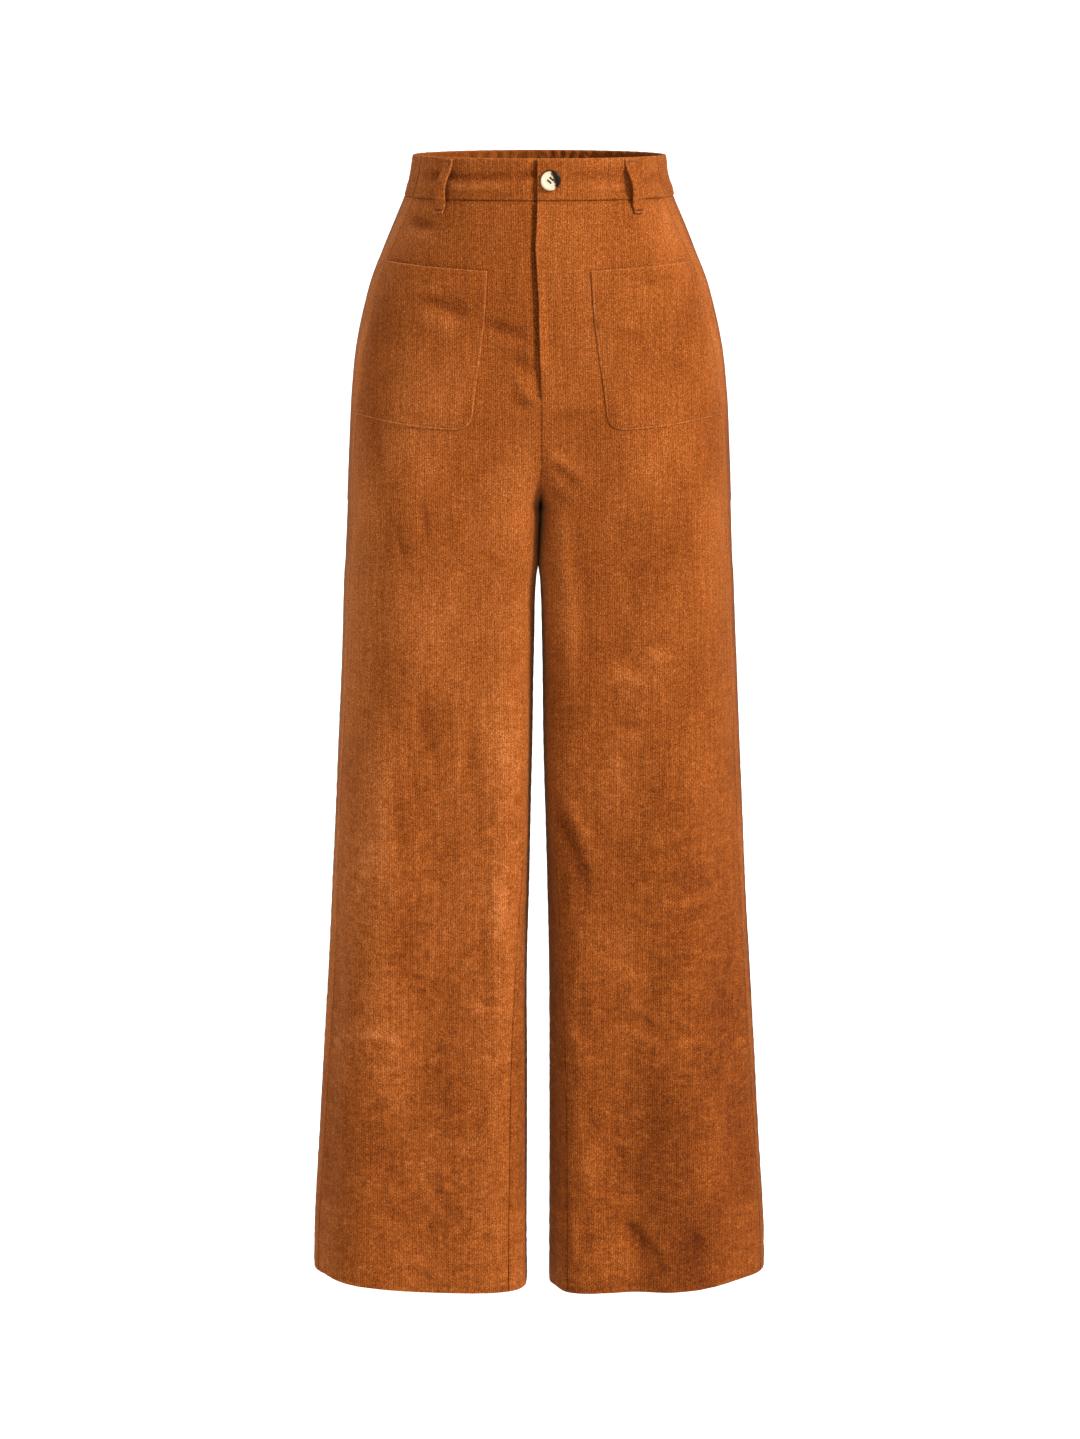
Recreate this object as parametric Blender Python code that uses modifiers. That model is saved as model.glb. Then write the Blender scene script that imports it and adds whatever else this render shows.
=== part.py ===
"""High-waisted wide-leg corduroy trousers, hollow and upright as when worn.

Every panel is a wall of cloth on one surface: level rings of the body above the crotch, and of each leg below it,
worked out from the sections table. Metres, +Z up, the front faces -Y and the wearer's left is +X. The origin is the
middle of the waistband, where the wearer holds the trousers up.
"""

import math

import bmesh
import bpy
import numpy as np

MM = 0.001

# Cloth and seams
CLOTH = 1.6 * MM  # one layer of needlecord
BAND = 3.2 * MM  # the waistband: two layers and their stiffener
BAND_PROUD = 0.8 * MM  # how far the waistband stands out from the panels
SEAM = 0.3 * MM  # between two sewn edges
LYING = 0.5 * MM  # under a piece that lies on a panel
HEM_HEIGHT = 23 * MM  # the turned-up hem, of two layers

# Heights
WAIST_TOP = 19 * MM
WAIST_SEAM = -17.5 * MM
HIP = -178 * MM  # the rise seams begin to curve under here
CROTCH = -290 * MM
HEM = -1021 * MM
HEM_LIFT = 7 * MM  # how much higher the hem hangs at the side than at the inner leg
HEM_LIFT_FROM = -900 * MM  # the rows above this height are level

# Rings of the surface, in mm: a ring's height, the side's distance from the middle, the inner leg's distance from
# the middle, how far the front and the back lie from the side's plane, and how far (in percent) the ring's corners
# stand out from an ellipse. The corner at the front of the inner leg is sharper: a superellipse of this power, whose
# 2 is an ellipse.
SECTIONS = (
    # height, side, inner, front, back, squareness, power of the inner front corner
    (19.0, 111.4, 0.0, 91.0, 95.0, 0.0, 2.0),
    (0.0, 114.5, 0.0, 92.5, 97.0, 0.0, 2.0),
    (-17.5, 119.4, 0.0, 94.5, 100.5, 0.5, 2.0),
    (-38.0, 128.0, 0.0, 98.0, 107.0, 1.5, 2.1),
    (-62.0, 138.4, 0.0, 101.5, 113.5, 3.0, 2.2),
    (-89.0, 149.3, 0.0, 104.5, 119.5, 4.5, 2.3),
    (-116.0, 156.7, 0.0, 107.0, 124.0, 5.5, 2.4),
    (-150.0, 164.0, 0.0, 109.0, 127.0, 7.0, 2.5),
    (-190.0, 168.7, 0.0, 110.5, 128.0, 8.0, 2.8),
    (-240.0, 171.4, 0.0, 110.5, 126.0, 7.5, 4.2),
    (-290.0, 173.5, 0.0, 109.0, 121.0, 5.0, 5.6),
    (-320.0, 174.9, 0.0, 107.4, 116.0, 4.2, 6.0),
    (-340.0, 175.9, 0.1, 106.2, 112.6, 3.7, 6.0),
    (-355.0, 176.6, 1.5, 105.1, 110.3, 3.5, 6.0),
    (-420.0, 178.9, 3.4, 101.0, 102.0, 3.0, 6.0),
    (-500.0, 182.8, 5.0, 95.5, 95.0, 3.0, 6.0),
    (-610.0, 188.4, 7.6, 88.0, 88.0, 3.0, 6.0),
    (-720.0, 194.6, 10.0, 80.5, 82.0, 3.0, 5.6),
    (-880.0, 204.4, 10.2, 72.0, 77.0, 3.5, 5.2),
    (-1000.0, 210.8, 10.2, 68.0, 75.0, 4.0, 5.0),
    (-1021.0, 210.8, 10.0, 67.5, 75.0, 4.0, 5.0),
)

# Where the seams run round a ring, in degrees: 90 is the front, 180 the side, 270 the back, and 0 the inner leg.
SEAM_TURNS = (
    # height, side seam, inseam, middle's shift to the wearer's left in mm
    (-60.0, 158.0, 0.0, 0.0),
    (-120.0, 155.0, 0.0, 0.8),
    (-185.0, 153.0, 0.0, 1.8),
    (-290.0, 154.0, 0.0, 1.2),
    (-340.0, 155.0, 8.0, -0.6),
    (-420.0, 156.0, 20.0, -0.8),
    (-560.0, 157.0, 38.0, -1.0),
    (-760.0, 159.0, 46.5, -0.9),
    (-1021.0, 162.0, 47.5, -0.9),
)
MIDDLE_REACH = 60 * MM  # the middle's shift dies out this far from it

# The deepest folds of the legs: +1 is the wearer's left leg and -1 the right one. Angles round the leg at the
# fold's two ends, the heights of the ends, how far it stands out (or, below 0, sinks in), and its half width.
FOLDS = (
    # leg, angle at top, at bottom, top mm, bottom mm, height mm, half width in degrees
    (-1, 52.0, 50.0, -420.0, -1000.0, 2.0, 10.0),
    (-1, 86.0, 93.0, -470.0, -1150.0, -3.5, 21.0),
    (-1, 121.0, 127.0, -430.0, -1150.0, 2.5, 16.0),
    (-1, 152.0, 151.0, -600.0, -1150.0, -3.0, 13.0),
    (-1, 228.0, 222.0, -400.0, -1150.0, -4.5, 20.0),
    (-1, 266.0, 262.0, -360.0, -1150.0, 3.5, 18.0),
    (-1, 308.0, 300.0, -430.0, -1150.0, -5.0, 18.0),
    (1, 39.0, 36.0, -520.0, -1150.0, -4.0, 8.0),
    (1, 53.0, 52.0, -620.0, -1150.0, 3.0, 9.0),
    (1, 69.0, 84.0, -840.0, -1150.0, -6.0, 12.0),
    (1, 104.0, 108.0, -430.0, -1100.0, 3.0, 18.0),
    (1, 137.0, 139.0, -480.0, -1150.0, -4.5, 17.0),
    (1, 217.0, 224.0, -480.0, -1150.0, -4.0, 18.0),
    (1, 251.0, 258.0, -380.0, -1150.0, 3.5, 16.0),
    (1, 294.0, 287.0, -380.0, -1150.0, -5.5, 19.0),
    (1, 326.0, 322.0, -600.0, -1150.0, 2.5, 12.0),
)
FOLD_FADE = 120.0  # mm over which a fold rises from flat at each end

# The fly: the left front laps over the right one, to this edge (mm past the middle, to the wearer's right).
FLY_EDGE = (
    # height, lap
    (19.0, 1.7),
    (-17.5, 1.7),
    (-62.0, 2.8),
    (-94.0, 1.5),
    (-148.0, 0.5),
    (-178.0, 0.0),
)
FLY_BOTTOM = -182 * MM
FLY_SINK_FROM = 11 * MM  # the right front starts to sink this far from the middle
FLY_SINK_TO = 3 * MM  # and has sunk below the overlap this far from it
FLY_SINK_FADE = 10 * MM  # below the fly's bottom it comes back out over this height
UNDERLAP = 4 * MM  # the right front's edge reaches this far under the overlap
BAND_UNDERLAP = 30 * MM  # the right waistband's end under the left one
SHIELD_FROM = -15 * MM
SHIELD_TO = 34 * MM
ZIP_WIDTH = 18 * MM
ZIP_THICK = 1.5 * MM
ZIP_TOP = -31 * MM
SLIDER_HEIGHT = 9 * MM
SLIDER_WIDTH = 7 * MM

# The back waist's gathers
GATHERS = 36
GATHER_DEPTH = 1.7 * MM
GATHER_COLUMNS = 4  # mesh columns for each gather
PANEL_GATHERS = 9  # of each back panel, where they open out below the waistband
PANEL_GATHER_END = -85 * MM

# Patch pockets
POCKET_TOP = -78 * MM
POCKET_TOP_AT_SIDE = -73 * MM
POCKET_BOTTOM = -216 * MM
POCKET_BOTTOM_AT_SIDE = -208 * MM
POCKET_EDGE = (
    # height, inner edge's distance from the middle
    (-78.0, 45.2),
    (-111.0, 47.0),
    (-150.0, 51.5),
    (-185.0, 56.5),
    (-216.0, 60.0),
)
POCKET_CORNER = 13 * MM
POCKET_GAPE = 1.6 * MM  # how far the mouth stands away from the panel

# Belt loops
LOOP_WIDTH = 9.5 * MM
LOOP_THICK = 2.2 * MM
LOOP_BOW = 6 * MM
LOOP_TOP = 17.5 * MM
LOOP_BOTTOM = -30 * MM
LOOP_TACK = 5 * MM  # height of the flat stretch sewn down at each end
FRONT_LOOP_TURN = 134.0  # degrees round the ring
BACK_LOOP_TURN = 234.0

# Button
BUTTON_DIAMETER = 18 * MM
BUTTON_THICK = 3.2 * MM
BUTTON_RIM = 2.6 * MM  # width of the raised rim
BUTTON_DISH = 0.8 * MM  # depth of the dish inside the rim
BUTTON_X = 9.6 * MM
BUTTON_HOLE = 1.8 * MM
BUTTON_HOLE_RING = 2.2 * MM  # from the button's middle to a hole's middle
BUTTON_HOLE_TURN = 3.0  # degrees

CORDUROY = (0.36, 0.095, 0.025)
HORN = (0.33, 0.24, 0.15)
ZIP_COTTON = (0.30, 0.11, 0.05)
BRASS = (0.55, 0.42, 0.22)


def reading(table, column, height):
    """One column of a table at the given heights (in m), on a smooth curve through its rows."""
    rows = np.array(sorted(table), float)
    at, value = rows[:, 0], rows[:, column]
    slope = np.gradient(value, at)
    z = np.clip(np.asarray(height, float) / MM, at[0], at[-1])
    i = np.clip(np.searchsorted(at, z) - 1, 0, len(at) - 2)
    span = at[i + 1] - at[i]
    t = (z - at[i]) / span
    rise = value[i] * (1 + 2 * t) * (1 - t) ** 2 + value[i + 1] * t**2 * (3 - 2 * t)
    return rise + span * (slope[i] * t * (1 - t) ** 2 + slope[i + 1] * t**2 * (t - 1))


def ease(t):
    """0 to 1, level at both ends."""
    t = np.clip(t, 0.0, 1.0)
    return t * t * (3 - 2 * t)


def ring_bulge(turn, z):
    """How many times further than an ellipse a squared ring stands out at an angle."""
    a = np.radians(turn)
    rounded = 1 + reading(SECTIONS, 5, z) / 100 * np.sin(2 * a) ** 2
    power = reading(SECTIONS, 6, z)
    sharp = (np.abs(np.cos(a)) ** power + np.abs(np.sin(a)) ** power) ** (-1 / power)
    return np.where((np.cos(a) > 0) & (np.sin(a) > 0), sharp, rounded)


def ring_sizes(z):
    """A ring's middle, half width, front depth and back depth. Above the crotch a leg's ring reaches past the middle
    plane, which cuts it along the rise seams, and by the hip its own middle has moved to that plane."""
    side = reading(SECTIONS, 1, z) * MM
    inner = reading(SECTIONS, 2, z) * MM
    rise = ease((z - CROTCH) / (HIP - CROTCH))
    half = np.where(z > CROTCH, side / (2 - rise), (side - inner) / 2)
    return side - half, half, reading(SECTIONS, 3, z) * MM, reading(SECTIONS, 4, z) * MM


def fold_height(leg, turn, z):
    """How far the cloth stands out at an angle (degrees) and height, from the folds of that leg."""
    total = np.zeros(np.broadcast(turn, z).shape)
    for side, turn_top, turn_end, top, end, height, width in FOLDS:
        if side != leg:
            continue
        along = (top - z / MM) / (top - end)
        centre = turn_top + (turn_end - turn_top) * along
        away = (turn - centre + 180.0) % 360.0 - 180.0
        strength = ease((top - z / MM) / FOLD_FADE) * ease((z / MM - end) / FOLD_FADE)
        total = total + height * MM * strength * np.exp(-((away / width) ** 2))
    return total


def bare_point(leg, turn, z):
    """A point of the outer surface, from its leg (+1 or -1), its angle in degrees and its height."""
    turn, z = np.broadcast_arrays(np.asarray(turn, float), np.asarray(z, float))
    middle, half, front, back = ring_sizes(z)
    a = np.radians(turn)
    depth = np.where(np.sin(a) > 0, front, back)
    out = np.stack([-np.cos(a) / half, -np.sin(a) / depth])
    out = out / np.linalg.norm(out, axis=0)
    fold = fold_height(leg, turn, z)
    bulge = ring_bulge(turn, z)
    x = middle - half * bulge * np.cos(a) + fold * out[0] + SEAM / 2
    y = -depth * bulge * np.sin(a) + fold * out[1]
    shift = reading(SEAM_TURNS, 3, z) * MM * np.exp(-((x / MIDDLE_REACH) ** 2))
    return np.stack([leg * x + shift, y, z], axis=-1)


def outward(leg, turn, z):
    """The surface's unit normal, pointing out of the cloth."""
    step = 0.5
    round_it = bare_point(leg, turn + step, z) - bare_point(leg, turn - step, z)
    down_it = bare_point(leg, turn, z - 0.5 * MM) - bare_point(leg, turn, z + 0.5 * MM)
    normal = leg * np.cross(down_it, round_it)
    return normal / np.linalg.norm(normal, axis=-1, keepdims=True)


def surface(leg, turn, z, out=0.0):
    """Points on the surface, moved out along its normal (in, below 0)."""
    turn, z, out = np.broadcast_arrays(
        np.asarray(turn, float), np.asarray(z, float), np.asarray(out, float)
    )
    return bare_point(leg, turn, z) + out[..., None] * outward(leg, turn, z)


def turn_at(distance, z):
    """The angle of the front where the surface is that far from the middle plane (past it, below 0)."""
    middle, half, _, _ = ring_sizes(z)
    across = (middle - distance) / half
    power = reading(SECTIONS, 6, z)
    inner = np.degrees(np.arctan((np.clip(across, 1e-9, 1.0) ** -power - 1) ** (1 / power)))
    outer = np.full(across.shape, 90.0)
    for _ in range(8):
        outer = np.degrees(np.arccos(np.clip(across / ring_bulge(outer, z), -1.0, 0.0)))
    return np.where(across > 0, inner, outer)


def distance_at(turn, z):
    """How far the surface is from the middle plane at an angle."""
    middle, half, _, _ = ring_sizes(z)
    return middle - half * ring_bulge(turn, z) * np.cos(np.radians(turn))


def seam_turn(distance, turn, z):
    """The angle that lies a distance along the ring from a given angle."""
    _, half, front, back = ring_sizes(z)
    a = np.radians(turn)
    depth = np.where(np.sin(a) > 0, front, back)
    speed = np.hypot(half * np.sin(a), depth * np.cos(a))
    return turn + np.degrees(distance / speed)


def inner_turn(z):
    """The angle of the rise seam above the crotch, or of the inseam below it."""
    return np.where(z > CROTCH, turn_at(0.0, z), reading(SEAM_TURNS, 2, z))


def rise_turn(z):
    """The angle where a back's ring meets the middle plane. It is found in steps, as the bulge depends on it."""
    middle, half, _, _ = ring_sizes(z)
    across = middle / half
    turn = 360.0 - np.degrees(np.arccos(np.clip(across, -1.0, 1.0)))
    for _ in range(30):
        turn = 360.0 - np.degrees(np.arccos(np.clip(across / ring_bulge(turn, z), -1.0, 1.0)))
    return turn


def side_turn(z):
    """The angle of the side seam."""
    return reading(SEAM_TURNS, 1, z)


def strip(upper, lower):
    """Faces between two rows of vertex numbers. Rows of unlike length are joined by triangles."""
    if len(upper) == len(lower):
        return [(upper[i], upper[i + 1], lower[i + 1], lower[i]) for i in range(len(upper) - 1)]
    faces = []
    i = j = 0
    while i < len(upper) - 1 or j < len(lower) - 1:
        upper_next = (i + 1) / (len(upper) - 1) if i < len(upper) - 1 else 2.0
        lower_next = (j + 1) / (len(lower) - 1) if j < len(lower) - 1 else 2.0
        if upper_next <= lower_next:
            faces.append((upper[i], upper[i + 1], lower[j]))
            i += 1
        else:
            faces.append((upper[i], lower[j + 1], lower[j]))
            j += 1
    return faces


def cloth_wall(name, outer, inner, material):
    """A closed wall between two stacks of rows of points, which have the same number of points row by row."""
    points = []
    stacks = []
    for rows in (outer, inner):
        stack = []
        for row in rows:
            stack.append(list(range(len(points), len(points) + len(row))))
            points.extend(tuple(p) for p in row)
        stacks.append(stack)
    out, back = stacks
    faces = strip(back[0], out[0]) + strip(out[-1], back[-1])
    for i in range(len(out) - 1):
        faces += strip(out[i], out[i + 1]) + strip(back[i], back[i + 1])
    for end in (0, -1):
        faces += strip([row[end] for row in out], [row[end] for row in back])
    mesh = bpy.data.meshes.new(name)
    mesh.from_pydata(points, [], faces)
    tidy = bmesh.new()
    tidy.from_mesh(mesh)
    bmesh.ops.recalc_face_normals(tidy, faces=tidy.faces)
    tidy.to_mesh(mesh)
    tidy.free()
    return add_piece(name, mesh, material)


def add_piece(name, mesh, material):
    """An object for a finished mesh, in the trousers' collection and with rounded pieces shaded smooth."""
    mesh.materials.append(material)
    mesh.shade_smooth()
    mesh.set_sharp_from_angle(angle=math.radians(50))
    piece = bpy.data.objects.new(name, mesh)
    trousers.objects.link(piece)
    return piece


def finish(name, colour, roughness, metallic=0.0):
    """A plain material in the piece's colour."""
    material = bpy.data.materials.new(name)
    material.use_nodes = True
    shader = material.node_tree.nodes["Principled BSDF"]
    shader.inputs["Base Color"].default_value = (*colour, 1.0)
    shader.inputs["Roughness"].default_value = roughness
    shader.inputs["Metallic"].default_value = metallic
    material.diffuse_color = (*colour, 1.0)
    return material


def row_heights():
    """Heights of the panels' rows, from below the waistband to the hem."""
    top = WAIST_SEAM - SEAM
    body = [top, -30 * MM, -46 * MM, -64 * MM, -85 * MM, -108 * MM, -132 * MM, -157 * MM]
    fly_end = [FLY_BOTTOM + 4 * MM, FLY_BOTTOM]
    shares = (0.9, 0.8, 0.7, 0.6, 0.47, 0.33, 0.2, 0.11, 0.05, 0.02, 0.005, 0.0)
    rise = [CROTCH + (HIP - CROTCH) * share for share in shares]
    leg = [-315, -338, -358, -400, -470, -550, -640, -730, -820, -900, -960]
    hem_step = HEM + HEM_HEIGHT
    hem = [hem_step + 2 * MM, hem_step, HEM]
    return np.array(body + fly_end + rise + [z * MM for z in leg] + hem)


def wall_at(z):
    """The panel's thickness: the hem is turned up and has two layers."""
    return CLOTH * (1 + ease((HEM + HEM_HEIGHT + 2 * MM - z) / (2 * MM)))


def fly_share(z):
    """1 beside the fly, and 0 below it."""
    return ease((z - FLY_BOTTOM) / (4 * MM))


def sunk(distance, z, depth):
    """How deep the right front lies where it goes under the overlap, by its distance from the middle."""
    fade = ease((z - FLY_BOTTOM) / FLY_SINK_FADE + 1)
    return depth * fade * ease((FLY_SINK_FROM - distance) / (FLY_SINK_FROM - FLY_SINK_TO))


def lifted(turn, z):
    """A leg row's heights: its outer side is drawn up towards the hem."""
    side_share = ease((0.17 - np.cos(np.radians(turn))) / 1.17)
    return z + HEM_LIFT * side_share * ease((HEM_LIFT_FROM - z) / (HEM_LIFT_FROM - HEM))


def front_columns(start, end, z, count):
    """Angles across a front: close together by the fly, and even from there to the side."""
    near = np.array([0, 4, 8, 12, 17]) * MM
    close = np.array([seam_turn(step, start, z) for step in near])
    rest = np.linspace(0, 1, count)[1:]
    return np.concatenate([close, close[-1] + (end - close[-1]) * rest])


def front_start(leg, z):
    """The angle of a front panel's inner edge, with the fly's lap."""
    lap = reading(FLY_EDGE, 1, z) * MM if leg > 0 else UNDERLAP
    if z > FLY_BOTTOM:
        return turn_at(-lap * fly_share(z), z)
    clear = 0.0 if z > CROTCH else SEAM / 2
    return seam_turn(clear, inner_turn(z), z)


def front_panel(name, leg, material):
    """A front, from the rise seam or inseam to the side seam. The right one sinks below the overlap."""
    outer = []
    inner = []
    for z in row_heights():
        end = seam_turn(-SEAM / 2, side_turn(z), z)
        turns = front_columns(front_start(leg, z), end, z, 13)
        drop = 0.0
        if leg < 0:
            drop = sunk(distance_at(turns, z), z, CLOTH + SEAM)
        outer.append(surface(leg, turns, lifted(turns, z), -drop))
        inner.append(surface(leg, turns, lifted(turns, z), -drop - wall_at(z)))
    return cloth_wall(name, outer, inner, material)


def gather_wave(share, count):
    """Uneven gathers across a width, from 0 to 1 high; share runs from 0 to 1."""
    drift = 0.22 * np.sin(2 * math.pi * 3.3 * share + 1.0) + 0.16 * np.sin(2 * math.pi * 7.1 * share)
    size = 0.78 + 0.22 * np.sin(2 * math.pi * 5.7 * share + 0.6)
    return size * (0.5 - 0.5 * np.cos(2 * math.pi * (count * share + drift)))


def panel_wave(leg, turn, z):
    """The gathers of a back panel, which open out below the waistband and fade at its two seams."""
    start = side_turn(z)
    share = (turn - start) / (rise_turn(z) - start)
    fade = ease((z - PANEL_GATHER_END) / (WAIST_SEAM - PANEL_GATHER_END)) * ease(6 * share) * ease(6 - 6 * share)
    return GATHER_DEPTH * fade * gather_wave(share, PANEL_GATHERS)


def band_wave(leg, turn, z):
    """The gathers of the back waistband, counted from the wearer's right side seam to the left one."""
    start = side_turn(z)
    half = (turn - start) / (270.0 - start) / 2
    share = half if leg < 0 else 1 - half
    fade = ease(30 * share) * ease(30 - 30 * share)
    return GATHER_DEPTH * fade * (gather_wave(share, GATHERS) - 0.4)


def back_panel(name, leg, material):
    """A back, from the side seam to the back rise or inseam, gathered at the top."""
    outer = []
    inner = []
    for z in row_heights():
        start = seam_turn(SEAM / 2, side_turn(z), z)
        turn_end = rise_turn(z) if z > CROTCH else 360.0 + inner_turn(z)
        clear = 0.0 if z > CROTCH else -SEAM / 2
        end = seam_turn(clear, turn_end, z)
        columns = 4 * PANEL_GATHERS if z >= PANEL_GATHER_END else 18
        turns = np.linspace(start, end, columns + 1)
        wave = panel_wave(leg, turns, z) if z >= PANEL_GATHER_END else 0.0
        outer.append(surface(leg, turns, lifted(turns, z), wave))
        inner.append(surface(leg, turns, lifted(turns, z), wave - wall_at(z)))
    return cloth_wall(name, outer, inner, material)


def band_heights():
    return np.linspace(WAIST_TOP, WAIST_SEAM, 4)


def band_front(name, leg, material):
    """A front half of the waistband. The left one laps over the right one, which ends behind the button."""
    outer = []
    inner = []
    for z in band_heights():
        start = turn_at(-reading(FLY_EDGE, 1, z) * MM if leg > 0 else -BAND_UNDERLAP, z)
        end = seam_turn(-SEAM / 2, side_turn(z), z)
        if leg > 0:
            turns = front_columns(start, end, z, 10)
        else:
            under = np.linspace(start, turn_at(-2 * MM, z), 4)[:-1]
            turns = np.concatenate([under, front_columns(turn_at(-2 * MM, z), end, z, 10)])
        drop = sunk(distance_at(turns, z), z, BAND + SEAM) if leg < 0 else 0.0
        outer.append(surface(leg, turns, z, BAND_PROUD - drop))
        inner.append(surface(leg, turns, z, BAND_PROUD - BAND - drop))
    return cloth_wall(name, outer, inner, material)


def band_back(name, material):
    """The elastic back of the waistband, from one side seam round to the other."""
    outer = []
    inner = []
    for z in band_heights():
        start = seam_turn(SEAM / 2, side_turn(z), z)
        share = np.linspace(0, 1, GATHERS // 2 * GATHER_COLUMNS + 1)
        turns = start + (270.0 - start) * share
        for rows, out in ((outer, BAND_PROUD), (inner, BAND_PROUD - BAND)):
            right = surface(-1, turns, z, band_wave(-1, turns, z) + out)
            left = surface(1, turns, z, band_wave(1, turns, z) + out)[::-1]
            right[:, 0] += SEAM / 2 * share  # the halves meet on the middle plane
            left[:, 0] -= SEAM / 2 * share[::-1]
            rows.append(np.concatenate([right, left[1:]]))
    return cloth_wall(name, outer, inner, material)


def pocket(name, leg, material):
    """A patch pocket on the front's own points, moved out. Its outer edge is caught in the side seam."""
    outer = []
    inner = []
    for down in (0.0, 0.12, 0.26, 0.42, 0.58, 0.74, 0.86, 0.93, 0.97, 1.0):
        across = np.linspace(0, 1, 10)
        top = POCKET_TOP + (POCKET_TOP_AT_SIDE - POCKET_TOP) * across
        bottom = POCKET_BOTTOM + (POCKET_BOTTOM_AT_SIDE - POCKET_BOTTOM) * ease(across)
        z = top + (bottom - top) * down
        left_over = (1 - down) * (POCKET_TOP - POCKET_BOTTOM)
        into = np.clip(POCKET_CORNER - left_over, 0.0, POCKET_CORNER)
        corner = POCKET_CORNER - math.sqrt(POCKET_CORNER**2 - into**2)
        start = turn_at(reading(POCKET_EDGE, 1, z[0]) * MM + corner, z)
        end = seam_turn(-1.2 * MM, side_turn(z), z)
        turns = start + (end - start) * across
        gape = POCKET_GAPE * np.sin(math.pi * across) * (1 - ease(down / 0.4))
        outer.append(surface(leg, turns, z, LYING + CLOTH + gape))
        inner.append(surface(leg, turns, z, LYING + gape))
    return cloth_wall(name, outer, inner, material)


def loop_seat(leg, turns, z):
    """How far out a belt loop lies at a height: on the waistband above its seam, and on the panel below it."""
    across = np.linspace(turns[0], turns[-1], 12)
    wave = 0.0
    if turns[0] > 180:
        wave = float(np.max((band_wave if z > WAIST_SEAM else panel_wave)(leg, across, z)))
    return LYING + wave + (BAND_PROUD if z > WAIST_SEAM else 0.0)


def belt_loop(name, leg, turn, material):
    """A folded strip sewn down at the top of the waistband and below it, bowed out between."""
    sewn = LOOP_TACK / (LOOP_TOP - LOOP_BOTTOM)
    outer = []
    inner = []
    for step in np.linspace(0, 1, 13):
        z = LOOP_TOP + (LOOP_BOTTOM - LOOP_TOP) * step
        free = float(np.clip((step - sewn) / (1 - 2 * sewn), 0, 1))
        turns = seam_turn(np.array([-0.5, 0.5]) * LOOP_WIDTH, turn, z)
        out = loop_seat(leg, turns, z) + LOOP_BOW * math.sin(math.pi * free) ** 1.5
        outer.append(surface(leg, turns, z, out + LOOP_THICK))
        inner.append(surface(leg, turns, z, out))
    return cloth_wall(name, outer, inner, material)


def fly_strip(name, across, heights, depth, thick, material):
    """A strip on the fly's own curve, a depth below the front's outer face. across is measured from the middle to
    the wearer's left."""
    outer = []
    inner = []
    for z in heights:
        turns = turn_at(across, z)
        outer.append(surface(1, turns, z, -depth))
        inner.append(surface(1, turns, z, -depth - thick))
    return cloth_wall(name, outer, inner, material)


def turned_disc(name, profile, material):
    """A solid of revolution about its own Z axis, from a profile of (radius, height) that runs bottom to top."""
    mesh = bpy.data.meshes.new(name)
    mesh.from_pydata([(r, 0.0, z) for r, z in profile], [(i, i + 1) for i in range(len(profile) - 1)], [])
    disc = add_piece(name, mesh, material)
    turn = disc.modifiers.new("turn", "SCREW")
    turn.steps = turn.render_steps = 28
    turn.use_merge_vertices = True
    turn.merge_threshold = 0.00001
    turn.use_normal_calculate = True
    return disc


def hole_pin(place):
    """A cutter for one hole of the button, standing along the button's own axis."""
    bpy.ops.mesh.primitive_cylinder_add(vertices=12, radius=BUTTON_HOLE / 2, depth=4 * BUTTON_THICK, location=place)
    pin = bpy.context.object
    for group in list(pin.users_collection):
        group.objects.unlink(pin)
    cutters.objects.link(pin)
    pin.hide_render = True
    pin.display_type = "WIRE"
    return pin


def button(name, material):
    """A four-hole button with a raised rim, lying on the overlap."""
    radius = BUTTON_DIAMETER / 2
    profile = (
        (0.0, BUTTON_THICK - BUTTON_DISH),
        (radius - BUTTON_RIM - 0.6 * MM, BUTTON_THICK - BUTTON_DISH),
        (radius - BUTTON_RIM, BUTTON_THICK - 0.2 * MM),
        (radius - BUTTON_RIM / 2, BUTTON_THICK),
        (radius - 0.4 * MM, BUTTON_THICK - 0.6 * MM),
        (radius, BUTTON_THICK / 2),
        (radius - 0.7 * MM, 0.3 * MM),
        (radius - 2.0 * MM, 0.0),
        (0.0, 0.0),
    )
    disc = turned_disc(name, profile, material)
    for i in range(4):
        a = math.pi / 2 * i + math.radians(BUTTON_HOLE_TURN)
        pin = hole_pin((BUTTON_HOLE_RING * math.cos(a), BUTTON_HOLE_RING * math.sin(a), 0.0))
        pin.parent = disc
        cut = disc.modifiers.new("hole", "BOOLEAN")
        cut.operation = "DIFFERENCE"
        cut.object = pin
    turns = turn_at(BUTTON_X, 0.0)
    normal = outward(1, turns, 0.0)
    seat = surface(1, turns, 0.0, BAND_PROUD + LYING)
    disc.location = seat
    disc.rotation_euler = (math.atan2(-normal[1], normal[2]), 0.0, math.atan2(normal[0], -normal[1]))
    return disc


for old in list(bpy.data.objects):
    bpy.data.objects.remove(old, do_unlink=True)
trousers = bpy.data.collections.new("corduroy_trousers")
cutters = bpy.data.collections.new("cutters")
for group in (trousers, cutters):
    bpy.context.scene.collection.children.link(group)

front_cloth = finish("corduroy front", CORDUROY, 0.9)
back_cloth = finish("corduroy back", CORDUROY, 0.9)
band_cloth = finish("corduroy waistband", CORDUROY, 0.9)
pocket_cloth = finish("corduroy pocket", CORDUROY, 0.9)
loop_cloth = finish("corduroy belt loop", CORDUROY, 0.9)
shield_cloth = finish("corduroy fly shield", CORDUROY, 0.9)

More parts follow.
